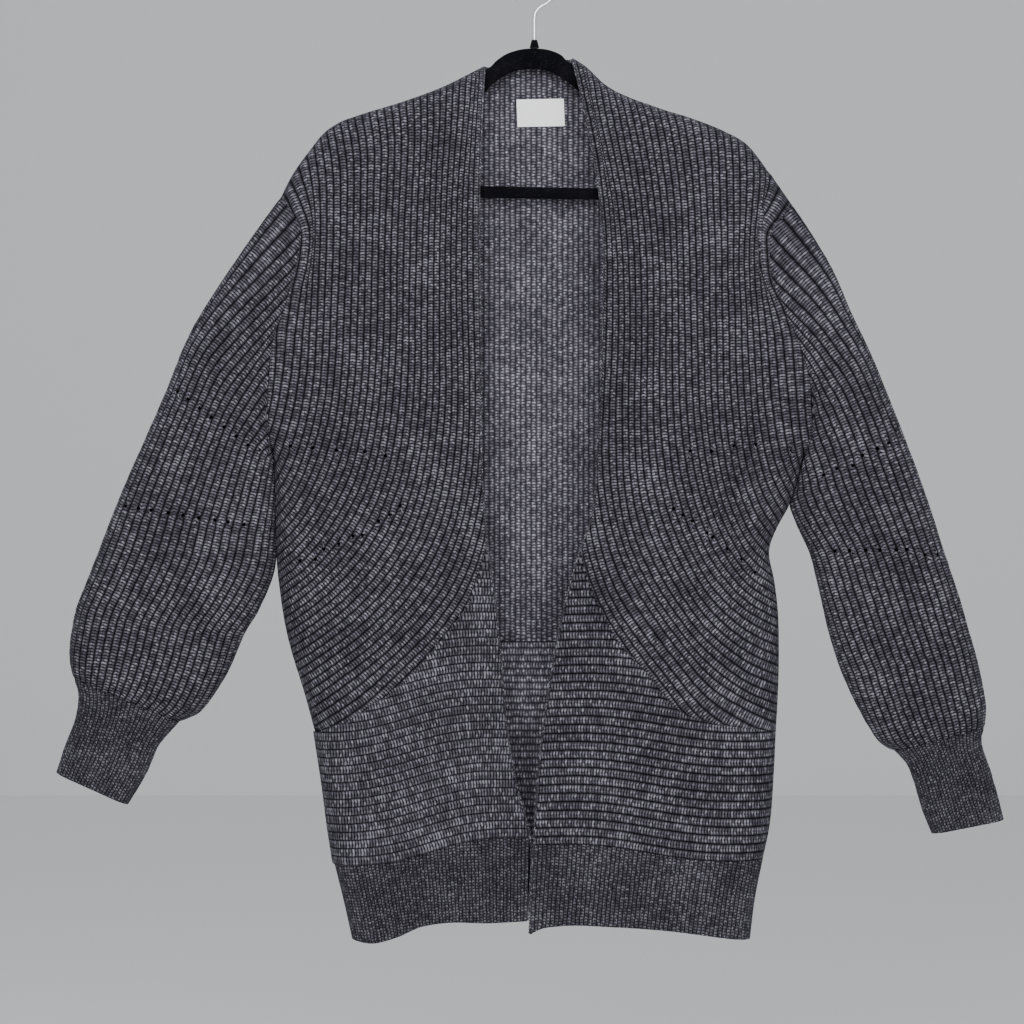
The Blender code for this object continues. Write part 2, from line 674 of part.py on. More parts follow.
def make_back():
    """The back: upright ribs above, ribs across below."""
    margin = SEAM_GAP / BACK_WIDTH

    def surface(u, v, inset):
        share = margin + (1 - 2 * margin) * round_in(u, BACK_WIDTH, EDGE_ROUND, True)
        calm = np.clip(np.minimum(u, 1 - u) * BACK_RIBS / BACK_CALM_RIBS, 0, 1)
        return body(back_points(share, v), 1, np.where(inset < 0, inset * calm, inset))

    piece = wall("back", rib_columns(BACK_RIBS), BACK_ROWS, surface,
                 ribs(BACK_RIBS, RIB_HEIGHT), BACK_INNER_STEP)
    paint(piece, YARN, 0.9)
    count = round((BACK_HEM_TOP_DOWN - BACK_JOIN_DOWN) / RIB_PITCH)
    rows = round_in(BACK_LOWER_ROWS, BACK_WIDTH, EDGE_ROUND, True)
    places = band_points(BACK_JOIN_DOWN + SEAM_GAP, BACK_HEM_TOP_DOWN)

    def lower_surface(u, v, inset):
        return body(places(u, v), 1, inset)

    piece = wall("back_lower", rib_columns(count), list(rows), lower_surface,
                 ribs(count, RIB_HEIGHT), BACK_LOWER_INNER_STEP)
    paint(piece, YARN, 0.9)


def make_sleeves():
    """Sleeves and their cuffs, as flattened tubes."""
    for side in ("right", "left"):
        piece = wall("sleeve_" + side, rib_columns(SLEEVE_RIBS), SLEEVE_ROWS,
                     lambda u, v, inset, side=side: sleeve(side, u, v, inset),
                     ribs(SLEEVE_RIBS, RIB_HEIGHT), SLEEVE_INNER_STEP, closed=True)
        paint(piece, YARN, 0.9)
        piece = wall("cuff_" + side, rib_columns(CUFF_RIBS), CUFF_ROWS,
                     lambda u, v, inset, side=side: cuff(side, u, v, inset),
                     ribs(CUFF_RIBS, FINE_RIB_HEIGHT), CUFF_INNER_STEP, closed=True)
        paint(piece, YARN, 0.9)


def make_label():
    """The neck label, made from the back's inner face moved inwards."""
    mesh = bmesh.new()
    across, down = LABEL_STEPS
    cells = [(i, j) for j in range(down + 1) for i in range(across + 1)]
    shares = np.array(cells) / (across, down)
    corners = np.array(LABEL_CORNERS)
    points = (corners[0] + (corners[1] - corners[0]) * shares[:, :1]
              + (corners[2] - corners[0]) * shares[:, 1:])
    sheets = []
    for inset in (WALL + LABEL_GAP, WALL + LABEL_GAP + LABEL_THICK):
        sheets.append(dict(zip(cells, body(points, 1, np.full(len(points), inset)))))
    bmesh.ops.create_grid(mesh, x_segments=across, y_segments=down, size=0.5)
    solid = bmesh.ops.extrude_face_region(mesh, geom=mesh.faces[:])
    raised = {item for item in solid["geom"] if isinstance(item, bmesh.types.BMVert)}
    for vert in mesh.verts:
        cell = (round((vert.co.x + 0.5) * across), round((vert.co.y + 0.5) * down))
        vert.co = sheets[1 if vert in raised else 0][cell]
    bmesh.ops.recalc_face_normals(mesh, faces=mesh.faces)
    paint(finish("neck_label", mesh), WHITE, 0.7)


def arm_rows(side):
    """Sections of a hanger arm, just under the shoulder it carries."""
    line = along(SHOULDER[side], np.array(ARM_SHARES))
    ahead = along(SHOULDER[side], np.array(ARM_SHARES) + 0.01)
    step = ahead - line
    normal = np.stack([-step[:, 1], step[:, 0]], axis=-1)
    normal /= np.hypot(normal[:, 0], normal[:, 1])[:, None]
    normal *= np.sign(normal[:, 1])[:, None]
    top = line + normal * (WALL + ARM_CLEARANCE)
    low = line + normal * (WALL + ARM_CLEARANCE + ARM_HEIGHT)
    return [(*upper, *lower) for upper, lower in zip(top, low)]


def hanger_section(row):
    """Outline of the hanger's frame at one row: a flat strip with two round edges."""
    outer, inner = row[:2], row[2:]
    unit = (inner - outer) / np.hypot(*(inner - outer))
    centres = (outer + unit * HANGER_HALF_THICK, inner - unit * HANGER_HALF_THICK)
    places = []
    depths = []
    for half_turns, centre in enumerate(centres):
        for k in range(HANGER_ROUND_CORNERS):
            angle = pi * (half_turns + k / (HANGER_ROUND_CORNERS - 1))
            places.append(centre - unit * sin(angle) * HANGER_HALF_THICK)
            depths.append(cos(angle) * HANGER_HALF_THICK)
    return to_model(np.array(places), np.array(depths))


def make_hanger():
    """The hanger's frame, lofted round its loop through flat sections with round edges."""
    loop = ARCH + arm_rows("left") + HANGER_TIP["left"]
    loop += BAR[::-1] + HANGER_TIP["right"][::-1] + arm_rows("right")[::-1]
    mesh = bmesh.new()
    sections = []
    for row in np.array(loop, float):
        sections.append([mesh.verts.new(place) for place in hanger_section(row)])
    around = len(sections[0])
    for section, following in zip(sections, sections[1:] + sections[:1]):
        for i in range(around):
            j = (i + 1) % around
            mesh.faces.new((section[i], section[j], following[j], following[i]))
    bmesh.ops.recalc_face_normals(mesh, faces=mesh.faces)
    paint(finish("hanger_frame", mesh), VELVET, 0.95)


def make_hook():
    """The hook's wire and the collar that it stands on."""
    height = (COLLAR_BOTTOM - COLLAR_TOP) * MM
    middle = (COLLAR_BOTTOM + COLLAR_TOP) / 2
    place = to_model(np.array([[STEM_RIGHT, middle]]), np.zeros(1))[0]
    bpy.ops.mesh.primitive_cone_add(vertices=24, radius1=COLLAR_RADII[0] * MM,
                                    radius2=COLLAR_RADII[1] * MM, depth=height, location=place)
    collar = bpy.context.object
    collar.name = "hanger_collar"
    move_to_collection(collar)
    paint(collar, VELVET, 0.6)

    centre_down = HANG_POINT[1] + HOOK_RADIUS - WIRE_RADIUS
    route = [(STEM_RIGHT, down) for down in [COLLAR_TOP - SEAM_GAP] + STEM_STRAIGHT_DOWN]
    angles = [HOOK_START + (HOOK_END - HOOK_START) * k / HOOK_STEPS for k in range(HOOK_STEPS + 1)]
    ring = [(HANG_POINT[0] + HOOK_RADIUS * cos(radians(angle)),
             centre_down - HOOK_RADIUS * sin(radians(angle))) for angle in angles]
    bend = along(STEM_BEND + ring[:2], np.linspace(*BEND_SHARES))
    route += [tuple(point) for point in bend] + ring
    wire = bpy.data.curves.new("hanger_hook", "CURVE")
    wire.dimensions = "3D"
    wire.bevel_depth = WIRE_RADIUS * MM
    wire.bevel_resolution = 2
    wire.use_fill_caps = True
    spline = wire.splines.new("POLY")
    spline.points.add(len(route) - 1)
    for point, position in zip(spline.points, to_model(np.array(route), np.zeros(len(route)))):
        point.co = (*position, 1.0)
    hook = bpy.data.objects.new("hanger_hook", wire)
    collection.objects.link(hook)
    paint(hook, STEEL, 0.25, 1.0)


def move_to_collection(piece):
    """Keep a piece only in the garment's collection."""
    for holder in piece.users_collection:
        holder.objects.unlink(piece)
    collection.objects.link(piece)


for item in list(bpy.data.objects):
    bpy.data.objects.remove(item, do_unlink=True)
collection = bpy.data.collections.new(NAME)
bpy.context.scene.collection.children.link(collection)

make_fronts()
make_lower_fronts()
make_back()
make_hems()
make_sleeves()
make_label()
make_hanger()
make_hook()
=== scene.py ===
# %% [markdown]
# A long open-front cardigan in a chunky charcoal rib hangs on a flat velvet hanger.
# Every knitted panel is a thin sheet that lies on the form of its solid: a grid primitive is laid
# out rib by rib, its ribs are raised, and a Solidify modifier gives it the thickness of the knit.
# The frame holds the solids, in metres, with the origin where the hook rests on its rail.

# %% Load the frame
from math import atan2, cos, pi, radians, sin

import bmesh
import bpy
import numpy as np
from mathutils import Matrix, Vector


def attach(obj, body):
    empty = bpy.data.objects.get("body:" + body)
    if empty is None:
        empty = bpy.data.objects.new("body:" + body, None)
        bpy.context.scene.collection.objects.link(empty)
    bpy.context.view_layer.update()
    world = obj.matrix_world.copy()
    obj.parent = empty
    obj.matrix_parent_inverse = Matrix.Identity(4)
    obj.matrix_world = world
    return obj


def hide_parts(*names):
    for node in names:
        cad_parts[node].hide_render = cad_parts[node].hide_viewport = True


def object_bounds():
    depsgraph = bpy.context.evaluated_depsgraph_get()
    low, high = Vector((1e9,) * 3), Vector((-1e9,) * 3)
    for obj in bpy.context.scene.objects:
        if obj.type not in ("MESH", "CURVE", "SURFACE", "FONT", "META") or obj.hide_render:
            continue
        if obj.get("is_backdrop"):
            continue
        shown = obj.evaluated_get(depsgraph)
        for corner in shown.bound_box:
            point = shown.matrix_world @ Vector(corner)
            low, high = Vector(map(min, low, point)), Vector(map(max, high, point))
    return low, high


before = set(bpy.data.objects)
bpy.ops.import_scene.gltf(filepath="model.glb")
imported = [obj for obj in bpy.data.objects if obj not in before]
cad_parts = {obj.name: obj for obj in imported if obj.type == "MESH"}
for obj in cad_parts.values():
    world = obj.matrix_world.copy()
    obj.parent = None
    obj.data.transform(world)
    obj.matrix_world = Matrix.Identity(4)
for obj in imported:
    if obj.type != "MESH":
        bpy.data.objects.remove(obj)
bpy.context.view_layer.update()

# %% [markdown]
# A maker lays a garment flat and draws its outlines full size. The tables below do the same on a
# layout sheet in millimetres, right and down, seen from the front. The hook's rest point is at
# HANG_POINT on the sheet. "right" and "left" are the wearer's sides.

# %% Layout of the body
MM = 0.001
HANG_POINT = np.array([534.0, -35.0])
BODY_MIDDLE = np.array([537.0, 500.0])
WALL = 2.0
SEAM_GAP = 0.1
EDGE_ROUND = 24.0
DEPTHS_DOWN = [60.0, 120.0, 220.0, 360.0, 600.0, 860.0, 945.0]
DEPTHS = [14.0, 16.0, 21.0, 24.0, 25.0, 24.0, 25.0]
SHOULDER = {
    "right": [(484, 66), (442, 87), (398, 103), (359, 115), (340, 122), (326, 131), (310, 150),
              (291, 177), (281, 197)],
    "left": [(573, 58), (584, 65), (606, 85), (656, 107), (694, 119), (724, 131), (744, 142),
             (768, 171), (791.5, 204)],
}
ARMHOLE = {
    "right": [(281, 197), (292, 212), (302, 230), (302, 245), (298, 266), (293, 285), (285, 313),
              (276, 336), (272, 358), (270, 385), (270, 420), (272, 450)],
    "left": [(791.5, 204), (780, 219), (770, 232), (768, 250), (771, 285), (782, 310), (792, 333),
             (801, 356), (808, 385), (810, 410), (809, 435), (804, 456)],
}
SIDE = {
    "right": [(272, 450), (273.5, 457), (274.5, 480), (275, 520), (276.5, 560), (281, 600),
              (285, 625), (291, 650), (304, 692), (315, 732), (323, 784), (329, 830), (334, 862),
              (343, 898), (352, 938)],
    "left": [(804, 456), (802, 462), (799.5, 473), (796, 488), (789, 506), (777, 528), (769, 550),
             (774, 578), (778, 610), (779, 646), (778, 696), (776, 730), (774, 772), (769, 830),
             (763, 858), (755, 898), (750, 938)],
}
FRONT_EDGE = {
    "right": [(484, 66), (481, 128), (479, 190), (480, 330), (483, 500), (487, 545)],
    "left": [(573, 58), (580, 90), (594, 160), (600, 200), (604, 250), (603, 330), (598, 450),
             (591, 520), (581, 548)],
}
MITRE = {
    "right": [(487, 545), (480, 571), (464, 610), (448, 631), (430, 653), (410, 677), (391, 692),
              (370, 706), (347, 721), (315, 732)],
    "left": [(581, 548), (588, 580), (603, 614), (612, 632), (626, 651), (644, 670), (662, 692),
             (679, 710), (703, 720), (740, 726), (776, 730)],
}
LOWER_EDGE = {
    "right": [(487, 545), (494, 597), (500, 657), (506, 726), (516, 784), (529, 834)],
    "left": [(581, 548), (567, 598), (555, 655), (545, 718), (538, 784), (534, 843)],
}
HEM_BOTTOM = {
    "right": [(527, 918), (490, 920), (444, 920), (421, 924), (398, 934), (375, 940), (352, 938)],
    "left": [(530, 931), (540, 926), (560, 923), (612, 924), (669, 928), (715, 934), (750, 938)],
}
NECK_LINE = [(510.0, 67.0), (528.0, 66.0), (550.0, 63.0)]
BACK_JOIN_DOWN = 642.0
BACK_HEM_TOP_DOWN = 850.0
BACK_HEM_BOTTOM_DOWN = 916.0
BACK_HEM_CORNER_DROP = 20.0
SHEET_END = 1000.0
FRONT_WIDTH = 200.0
print("sheet points:", sum(len(line) for line in (*SIDE.values(), *ARMHOLE.values())))

# %% [markdown]
# The ribs of the fronts are not straight: they fall from the shoulder and sweep round to the side
# seam, which gives this cardigan its cocoon shape. Each row below is one rib, numbered from the
# armhole, and the ribs between are read from them. Every line runs on past the outline, as a rib
# would on uncut cloth, and the panel is cut from it afterwards.

# %% Ribs that steer the others
STEERING_RIBS = {
    "right": [
        (0.0, [(262, 180), (264, 240), (267, 300), (270, 350), (269, 390), (258, 432)]),
        (1.9, [(276, 182), (292, 213), (300, 236), (299, 262), (293, 290), (288, 325), (284, 371),
               (276, 417), (260, 462)]),
        (5.6, [(308, 136), (317, 186), (319, 234), (317, 282), (315, 330), (312, 378), (304, 425),
               (288, 470), (260, 511)]),
        (9.6, [(334, 112), (344, 165), (345, 215), (344, 266), (342, 317), (340, 367), (334, 418),
               (320, 466), (297, 511), (260, 550)]),
        (13.6, [(362, 99), (371, 148), (371, 194), (370, 241), (369, 287), (368, 333), (366, 379),
                (360, 425), (349, 470), (329, 511), (302, 548), (262, 580)]),
        (17.6, [(392, 89), (398, 138), (397, 185), (395, 231), (394, 277), (394, 324), (392, 370),
                (388, 416), (380, 462), (364, 505), (340, 545), (309, 579), (266, 609)]),
        (21.6, [(422, 78), (424, 129), (422, 175), (420, 221), (419, 268), (418, 314), (418, 361),
                (416, 407), (410, 453), (398, 498), (378, 540), (350, 577), (316, 608), (270, 638)]),
        (25.6, [(449, 67), (448, 119), (445, 165), (443, 212), (442, 258), (442, 305), (442, 351),
                (442, 398), (438, 444), (430, 490), (415, 534), (391, 574), (360, 609), (324, 638),
                (276, 668)]),
        (29.1, [(472, 57), (469, 107), (465, 153), (462, 200), (461, 246), (461, 293), (462, 339),
                (463, 386), (462, 432), (457, 479), (447, 524), (428, 566), (401, 604), (368, 637),
                (331, 665), (284, 696)]),
        (32.3, [(485, 52), (481, 128), (479, 190), (479, 260), (480, 330), (481, 395), (480, 443),
                (475, 492), (463, 541), (444, 585), (414, 624), (379, 658), (340, 688), (296, 718)]),
        (35.1, [(502, 52), (498, 182), (497, 275), (497, 368), (496, 415), (494, 461), (489, 508),
                (479, 553), (461, 596), (434, 634), (401, 667), (368, 698), (320, 730)]),
        (37.4, [(510, 52), (507, 250), (505, 400), (500, 511), (489, 564), (470, 611), (440, 651),
                (405, 688), (370, 722), (325, 756)]),
    ],
    "left": [
        (0.0, [(818, 190), (815, 260), (811, 330), (810, 380), (810, 412), (815, 445), (826, 475)]),
        (1.8, [(796, 196), (780, 219), (769, 236), (769, 256), (773, 286), (783, 308), (790, 332),
               (794, 370), (797, 410), (802, 445), (814, 480)]),
        (5.3, [(763, 138), (763, 180), (759, 215), (756, 250), (758, 290), (762, 325), (765, 362),
               (769, 412), (778, 461), (802, 508)]),
        (9.3, [(735, 122), (737, 174), (737, 221), (736, 267), (738, 314), (739, 360), (742, 407),
               (748, 453), (760, 497), (790, 540)]),
        (13.3, [(703, 106), (709, 160), (711, 208), (713, 256), (713, 304), (714, 352), (715, 400),
                (720, 448), (731, 495), (749, 537), (788, 574)]),
        (17.3, [(669, 96), (679, 149), (685, 198), (687, 247), (688, 296), (689, 345), (690, 393),
                (694, 442), (703, 490), (719, 534), (744, 574), (790, 604)]),
        (21.3, [(636, 83), (649, 137), (657, 186), (662, 236), (664, 285), (664, 335), (664, 385),
                (666, 435), (673, 484), (688, 532), (709, 573), (741, 608), (790, 634)]),
        (25.3, [(608, 70), (619, 121), (628, 167), (635, 214), (639, 261), (640, 308), (640, 355),
                (639, 402), (640, 449), (646, 496), (660, 541), (681, 583), (707, 620), (743, 650),
                (790, 671)]),
        (28.8, [(586, 54), (594, 106), (604, 153), (613, 200), (618, 248), (620, 296), (620, 344),
                (618, 392), (618, 440), (620, 488), (629, 535), (648, 579), (674, 619), (704, 655),
                (743, 685), (790, 704)]),
        (31.6, [(571, 48), (580, 90), (594, 160), (600, 200), (604, 250), (604, 300), (603, 350),
                (601, 400), (599, 450), (602, 495), (611, 538), (627, 580), (650, 617), (678, 655),
                (709, 690), (746, 713), (790, 732)]),
        (33.3, [(556, 48), (567, 156), (583, 210), (591, 260), (592, 310), (592, 360), (591, 410),
                (590, 455), (592, 500), (600, 547), (616, 592), (641, 631), (670, 669), (701, 706),
                (745, 737), (790, 756)]),
        (37.3, [(540, 48), (554, 156), (566, 253), (569, 344), (568, 390), (566, 436), (566, 484),
                (571, 532), (583, 579), (602, 622), (627, 661), (654, 698), (681, 736), (716, 770),
                (760, 795)]),
    ],
}
LOWER_RIBS = 35
LOWER_SAG = {"right": 5.0, "left": 4.0}
LOWER_OVERRUN = 1.06
LOWER_END_DOWN = {"right": 862, "left": 858}
BACK_RIBS = 104
BACK_SPREAD = [(262.0, 50.0), (811.0, 650.0)]
BACK_RISE = 0.5
BACK_LOWER_RIBS = 30
HEM_RIBS = 57
CUFF_RIBS = 56

# %% [markdown]
# A sleeve is a flattened tube. Each row of the table is one ring of it: the outer edge's place,
# the inner edge's place and the half depth between them.

# %% Rings of the sleeves and cuffs
SLEEVE_RINGS = {
    "right": [
        (281, 197, 272, 450, 22), (258, 229, 272.6, 451.5, 22), (231, 268, 273.1, 453.5, 22),
        (205, 308, 273.7, 456, 22), (186, 343, 274, 459, 22), (169, 386, 274.2, 464, 22),
        (149, 432, 274.9, 483, 22), (132, 470, 275.2, 507, 22), (116, 508, 275.6, 532, 23),
        (101, 547, 273.6, 572, 24), (87, 583, 259, 608, 26), (77, 610, 244, 634, 27),
        (71, 643, 224, 678, 27), (71, 663, 202, 709, 25), (74, 677, 180, 721, 20),
    ],
    "left": [
        (791.5, 204, 804, 456, 22), (812, 235, 803.4, 457.5, 22), (833, 271, 802.6, 459.5, 22),
        (852, 315, 801.7, 462, 22), (873, 360, 800.4, 467, 22), (898, 423, 796.5, 484, 22),
        (914, 466, 790.3, 504, 22), (930, 511, 799, 529, 22), (943, 552, 811, 554, 23),
        (956, 590, 821, 597, 24), (967, 628, 831, 637, 26), (975, 655, 842, 672, 27),
        (981, 682, 858, 706, 27), (985, 706, 877, 738, 25), (984, 726, 894, 750, 20),
    ],
}
CUFF_RINGS = {
    "right": [(74, 677.2, 180, 721.2, 20), (79, 694, 168, 734, 16), (76, 718, 157, 748, 15),
              (65, 747, 146, 774, 15), (57, 772, 128, 804, 15)],
    "left": [(984, 726.2, 894, 750.2, 20), (981, 742, 907, 764, 16), (990, 771, 915, 784, 15),
             (997, 795, 922, 808, 15), (1003, 819, 932, 833, 15)],
}
SLEEVE_ROUND = 22.0
CUFF_ROUND = 14.0
SLEEVE_LEAVES_BODY = 0.28
SLEEVE_RIBS = 25
RIB_COUNT_PLACES = [0.0, 0.29, 0.43, 0.57, 0.79, 1.0]
RIB_COUNTS = {"right": [18, 20.4, 22, 23.2, 25, 23], "left": [14, 16.2, 18.8, 19.6, 21.2, 19.5]}

# %% [markdown]
# Heavy knitwear on a hanger is never quite flat. The large folds are listed: each row
# names the panel, the line of the fold on the sheet, its half width and how far it rises or sinks.

# %% Folds
FOLDS = [
    ("front_left", [(768, 345), (751, 435), (732, 492), (722, 540), (713, 580), (710, 650)], 11, -9),
    ("front_left", [(790, 380), (776, 450), (757, 505), (744, 545), (742, 590), (750, 640)], 14, 6),
    ("front_right", [(489, 690), (482, 728), (472, 780), (462, 822)], 14, -5),
    ("front_right", [(410, 720), (402, 790), (396, 870), (398, 930)], 20, 3),
    ("front_left", [(640, 740), (650, 800), (655, 870), (655, 925)], 24, 3),
    ("front_right", [(336, 260), (334, 360), (318, 460), (300, 540)], 18, 2.5),
    ("front_right", [(386, 220), (384, 340), (372, 450), (340, 560)], 15, -1.5),
    ("front_right", [(440, 140), (436, 300), (436, 430), (410, 560)], 16, 1.5),
    ("front_left", [(676, 170), (684, 300), (690, 430), (700, 520)], 16, 1.5),
    ("front_left", [(640, 200), (645, 330), (650, 450), (668, 560)], 14, -1.2),
    ("front_left", [(730, 240), (728, 320), (726, 400)], 18, 2),
    ("back", [(420, 150), (410, 330), (398, 520), (392, 650)], 26, 4),
    ("back", [(500, 180), (498, 380), (492, 600)], 22, -2.5),
    ("back", [(590, 160), (600, 340), (610, 620)], 26, 3),
    ("back", [(690, 210), (694, 400), (690, 640)], 24, -2.5),
    ("back", [(330, 300), (322, 460), (330, 640)], 22, -2.5),
    ("sleeve_right", [(173, 596), (152, 646), (139, 676), (132, 700)], 10, -4),
    ("sleeve_right", [(232, 330), (210, 420), (190, 520), (180, 600)], 22, 2.5),
    ("sleeve_right", [(120, 560), (104, 620), (100, 672)], 12, 2.5),
    ("sleeve_right", [(215, 600), (196, 650), (176, 704)], 9, -3),
    ("sleeve_left", [(887, 640), (900, 680), (918, 724)], 9, -4),
    ("sleeve_left", [(880, 420), (906, 520), (930, 610), (946, 680)], 18, 3),
    ("sleeve_left", [(840, 500), (858, 580), (872, 640)], 14, -2),
    ("sleeve_left", [(958, 640), (962, 690), (960, 726)], 9, -2.5),
]
print("folds:", len(FOLDS))

# %% [markdown]
# These helpers read smooth curves through the tables. A Hermite curve passes through every point
# that is given, so the drawn outline stays where it was measured.

# %% Curves through the tables
def smooth(knots, values, t):
    """Read a smooth curve through values at knots; values may hold one column for each t."""
    knots = np.asarray(knots, float)
    values = np.asarray(values, float)
    t = np.asarray(t, float)
    slopes = np.gradient(values, knots, axis=0)
    low = np.clip(np.searchsorted(knots, t, side="right") - 1, 0, len(knots) - 2)
    span = knots[low + 1] - knots[low]
    f = ((t - knots[low]) / span)[:, None]
    span = span[:, None]
    pick = (low, np.arange(len(t))) if values.ndim == 3 else (low,)
    pick_next = (low + 1,) + pick[1:]
    return (values[pick] * (2 * f**3 - 3 * f**2 + 1) + slopes[pick] * span * (f**3 - 2 * f**2 + f)
            + values[pick_next] * (3 * f**2 - 2 * f**3) + slopes[pick_next] * span * (f**3 - f**2))


def along(points, t):
    """Points at shares t of the length of a smooth line."""
    points = np.asarray(points, float)
    steps = np.hypot(*np.diff(points, axis=0).T)
    knots = np.concatenate([[0.0], np.cumsum(steps)]) / steps.sum()
    return smooth(knots, points, t)


def joined(*lines):
    """One list of points from lines that share their end points."""
    points = list(lines[0])
    for line in lines[1:]:
        points += list(line)[1:]
    return points


def round_in(share, length, radius, both_ends=False):
    """Share of a flat length for a share of the cloth's length, which turns in at its far end."""
    turn = radius * pi / 2
    flat = length - radius * (2 if both_ends else 1)
    run = np.asarray(share, float) * (flat + turn * (2 if both_ends else 1))
    start = turn if both_ends else 0.0
    near = radius * (1 - np.cos(np.clip(run / turn, 0, 1) * pi / 2))
    middle = np.clip(run - start, 0, flat)
    far = radius * np.sin(np.clip((run - start - flat) / turn, 0, 1) * pi / 2)
    return ((near if both_ends else 0.0) + middle + far) / length


FINE_STEPS = np.linspace(0, 1, 61)
STRETCH_STEPS = np.linspace(0, 1, 31)
print("a front edge is", round(float(np.hypot(*np.diff(FRONT_EDGE["right"], axis=0).T).sum())), "mm")

# %% [markdown]
# The body is two walls that meet at the shoulders and the side seams and turn round there. So the
# depth at any place follows from its distance to that outline: a quarter ellipse at the edge, and
# level cloth inside it. The same rule serves the fronts and the back, so their edges always meet.

# %% Depth of the body
def side_stretch(side, top, bottom):
    """The part of a side outline between two heights."""
    points = [point for point in SIDE[side] if top <= point[1] <= bottom]
    return along(points, STRETCH_STEPS)


def closed_lines():
    """Outlines at which the body's front and back meet, on the sheet."""
    lines = []
    for side in ("right", "left"):
        mitre_end = MITRE[side][-1][1]
        hem_start = LOWER_END_DOWN[side]
        lines.append(along(SHOULDER[side], FINE_STEPS))
        lines.append(along([ring[:2] for ring in SLEEVE_RINGS[side][:4]], STRETCH_STEPS))
        lines.append(np.vstack([side_stretch(side, 0, mitre_end),
                                side_stretch(side, mitre_end, hem_start)[1:],
                                side_stretch(side, hem_start, SHEET_END)[1:]]))
    return lines


CLOSED_LINES = closed_lines()
LAST_FRAME = {}


def nearest(points, line):
    """Distance from each point to a line on the sheet, and the unit direction away from it."""
    start = line[:-1]
    step = line[1:] - start
    offset = points[:, None, :] - start
    reach = np.clip((offset * step).sum(-1) / (step**2).sum(-1), 0, 1)
    away = offset - reach[..., None] * step
    distance = np.hypot(away[..., 0], away[..., 1])
    best = distance.argmin(axis=1)
    rows = np.arange(len(points))
    distance = distance[rows, best]
    away = away[rows, best]
    normal = np.stack([-step[best, 1], step[best, 0]], axis=-1)
    normal /= np.hypot(normal[:, 0], normal[:, 1])[:, None]
    normal *= np.sign((normal * (BODY_MIDDLE - points)).sum(-1))[:, None]
    on_line = distance < 0.05
    direction = np.where(on_line[:, None], normal, away / np.maximum(distance, 1e-6)[:, None])
    return distance, direction


def edge_frame(points):
    """Distance of each point to the outline where front and back meet, and the way inwards."""
    key = points.tobytes()
    if key not in LAST_FRAME:
        found = [nearest(points, line) for line in CLOSED_LINES]
        distances = np.array([item[0] for item in found])
        best = distances.argmin(axis=0)
        rows = np.arange(len(points))
        LAST_FRAME.clear()
        LAST_FRAME[key] = distances[best, rows], np.array([item[1] for item in found])[best, rows]
    return LAST_FRAME[key]


def wrap(distance, direction, radius, depth, inset):
    """Turn of the cloth round an edge: its shift on the sheet and its depth, at an inset."""
    turn = 1 - np.clip(distance / radius, 0, 1)
    rise = np.sqrt(1 - turn**2)
    normal_in = depth * turn
    normal_out = radius * rise
    size = np.hypot(normal_in, normal_out)
    shift = direction * (inset * normal_in / size)[:, None]
    return shift, depth * rise - inset * normal_out / size


def half_depth(points):
    """Half depth of the body away from its edges."""
    return smooth(DEPTHS_DOWN, np.array(DEPTHS)[:, None], points[:, 1])[:, 0]


def fold_height(points, panel):
    """How far the folds of one panel push the cloth outwards."""
    height = np.zeros(len(points))
    for place, line, half_width, rise in FOLDS:
        if place != panel:
            continue
        path = along(line, np.linspace(0, 1, 25))
        offset = np.hypot(*(points[:, None, :] - path).transpose(2, 0, 1))
        share = offset.argmin(axis=1) / (len(path) - 1)
        fade = np.sin(np.clip(share, 0.04, 0.96) * pi)
        height += rise * fade * np.exp(-(offset.min(axis=1) / half_width) ** 2)
    return height


def to_model(points, depth):
    """Points on the sheet, and their depth, as places in metres."""
    right = points[:, 0] - HANG_POINT[0]
    down = points[:, 1] - HANG_POINT[1]
    return np.stack([right, depth, -down], axis=-1) * MM


def body(points, sign, inset, panel=None):
    """Cloth of the body over points on the sheet: sign -1 is the front, +1 the back."""
    distance, direction = edge_frame(points)
    shift, level = wrap(distance, direction, EDGE_ROUND, half_depth(points), inset)
    if panel:
        level = level + fold_height(points, panel) * np.clip(distance / EDGE_ROUND, 0, 1)
    return to_model(points + shift, sign * (level + SEAM_GAP / 2))


# %% [markdown]
# Each panel has its own pair of directions: u steps from rib to rib and v runs along a rib. A
# function turns (u, v) into a place on the sheet, so the ribs of the finished cloth run exactly
# as the knitter made them. The outlines below are what the panels are cut to.

# %% Places on the panels
def front_points(side, u, v):
    """Places on a front's uncut cloth: u counts ribs from the armhole, v runs down along them."""
    numbers = [number for number, _ in STEERING_RIBS[side]]
    lines = np.array([along(line, v) for _, line in STEERING_RIBS[side]])
    return smooth(numbers, lines, u * numbers[-1])


def hem_line(side, v):
    """The line where a lower front meets its hem band, from the front edge outwards."""
    start = np.array(LOWER_EDGE[side][-1], float)
    end = side_stretch(side, 0, LOWER_END_DOWN[side])[-1]
    points = start + (end - start) * v[:, None]
    points[:, 1] -= LOWER_SAG[side] * np.sin(2 * pi * v)
    return points


def lower_points(side, u, v):
    """Places on a lower front's uncut cloth: u runs down from rib to rib, v outwards."""
    return along(LOWER_EDGE[side], u) + hem_line(side, v * LOWER_OVERRUN) - LOWER_EDGE[side][-1]


def outline(*lines):
    """A closed outline on the sheet from lines that follow one another."""
    return np.vstack([np.asarray(line)[:-1] for line in lines])


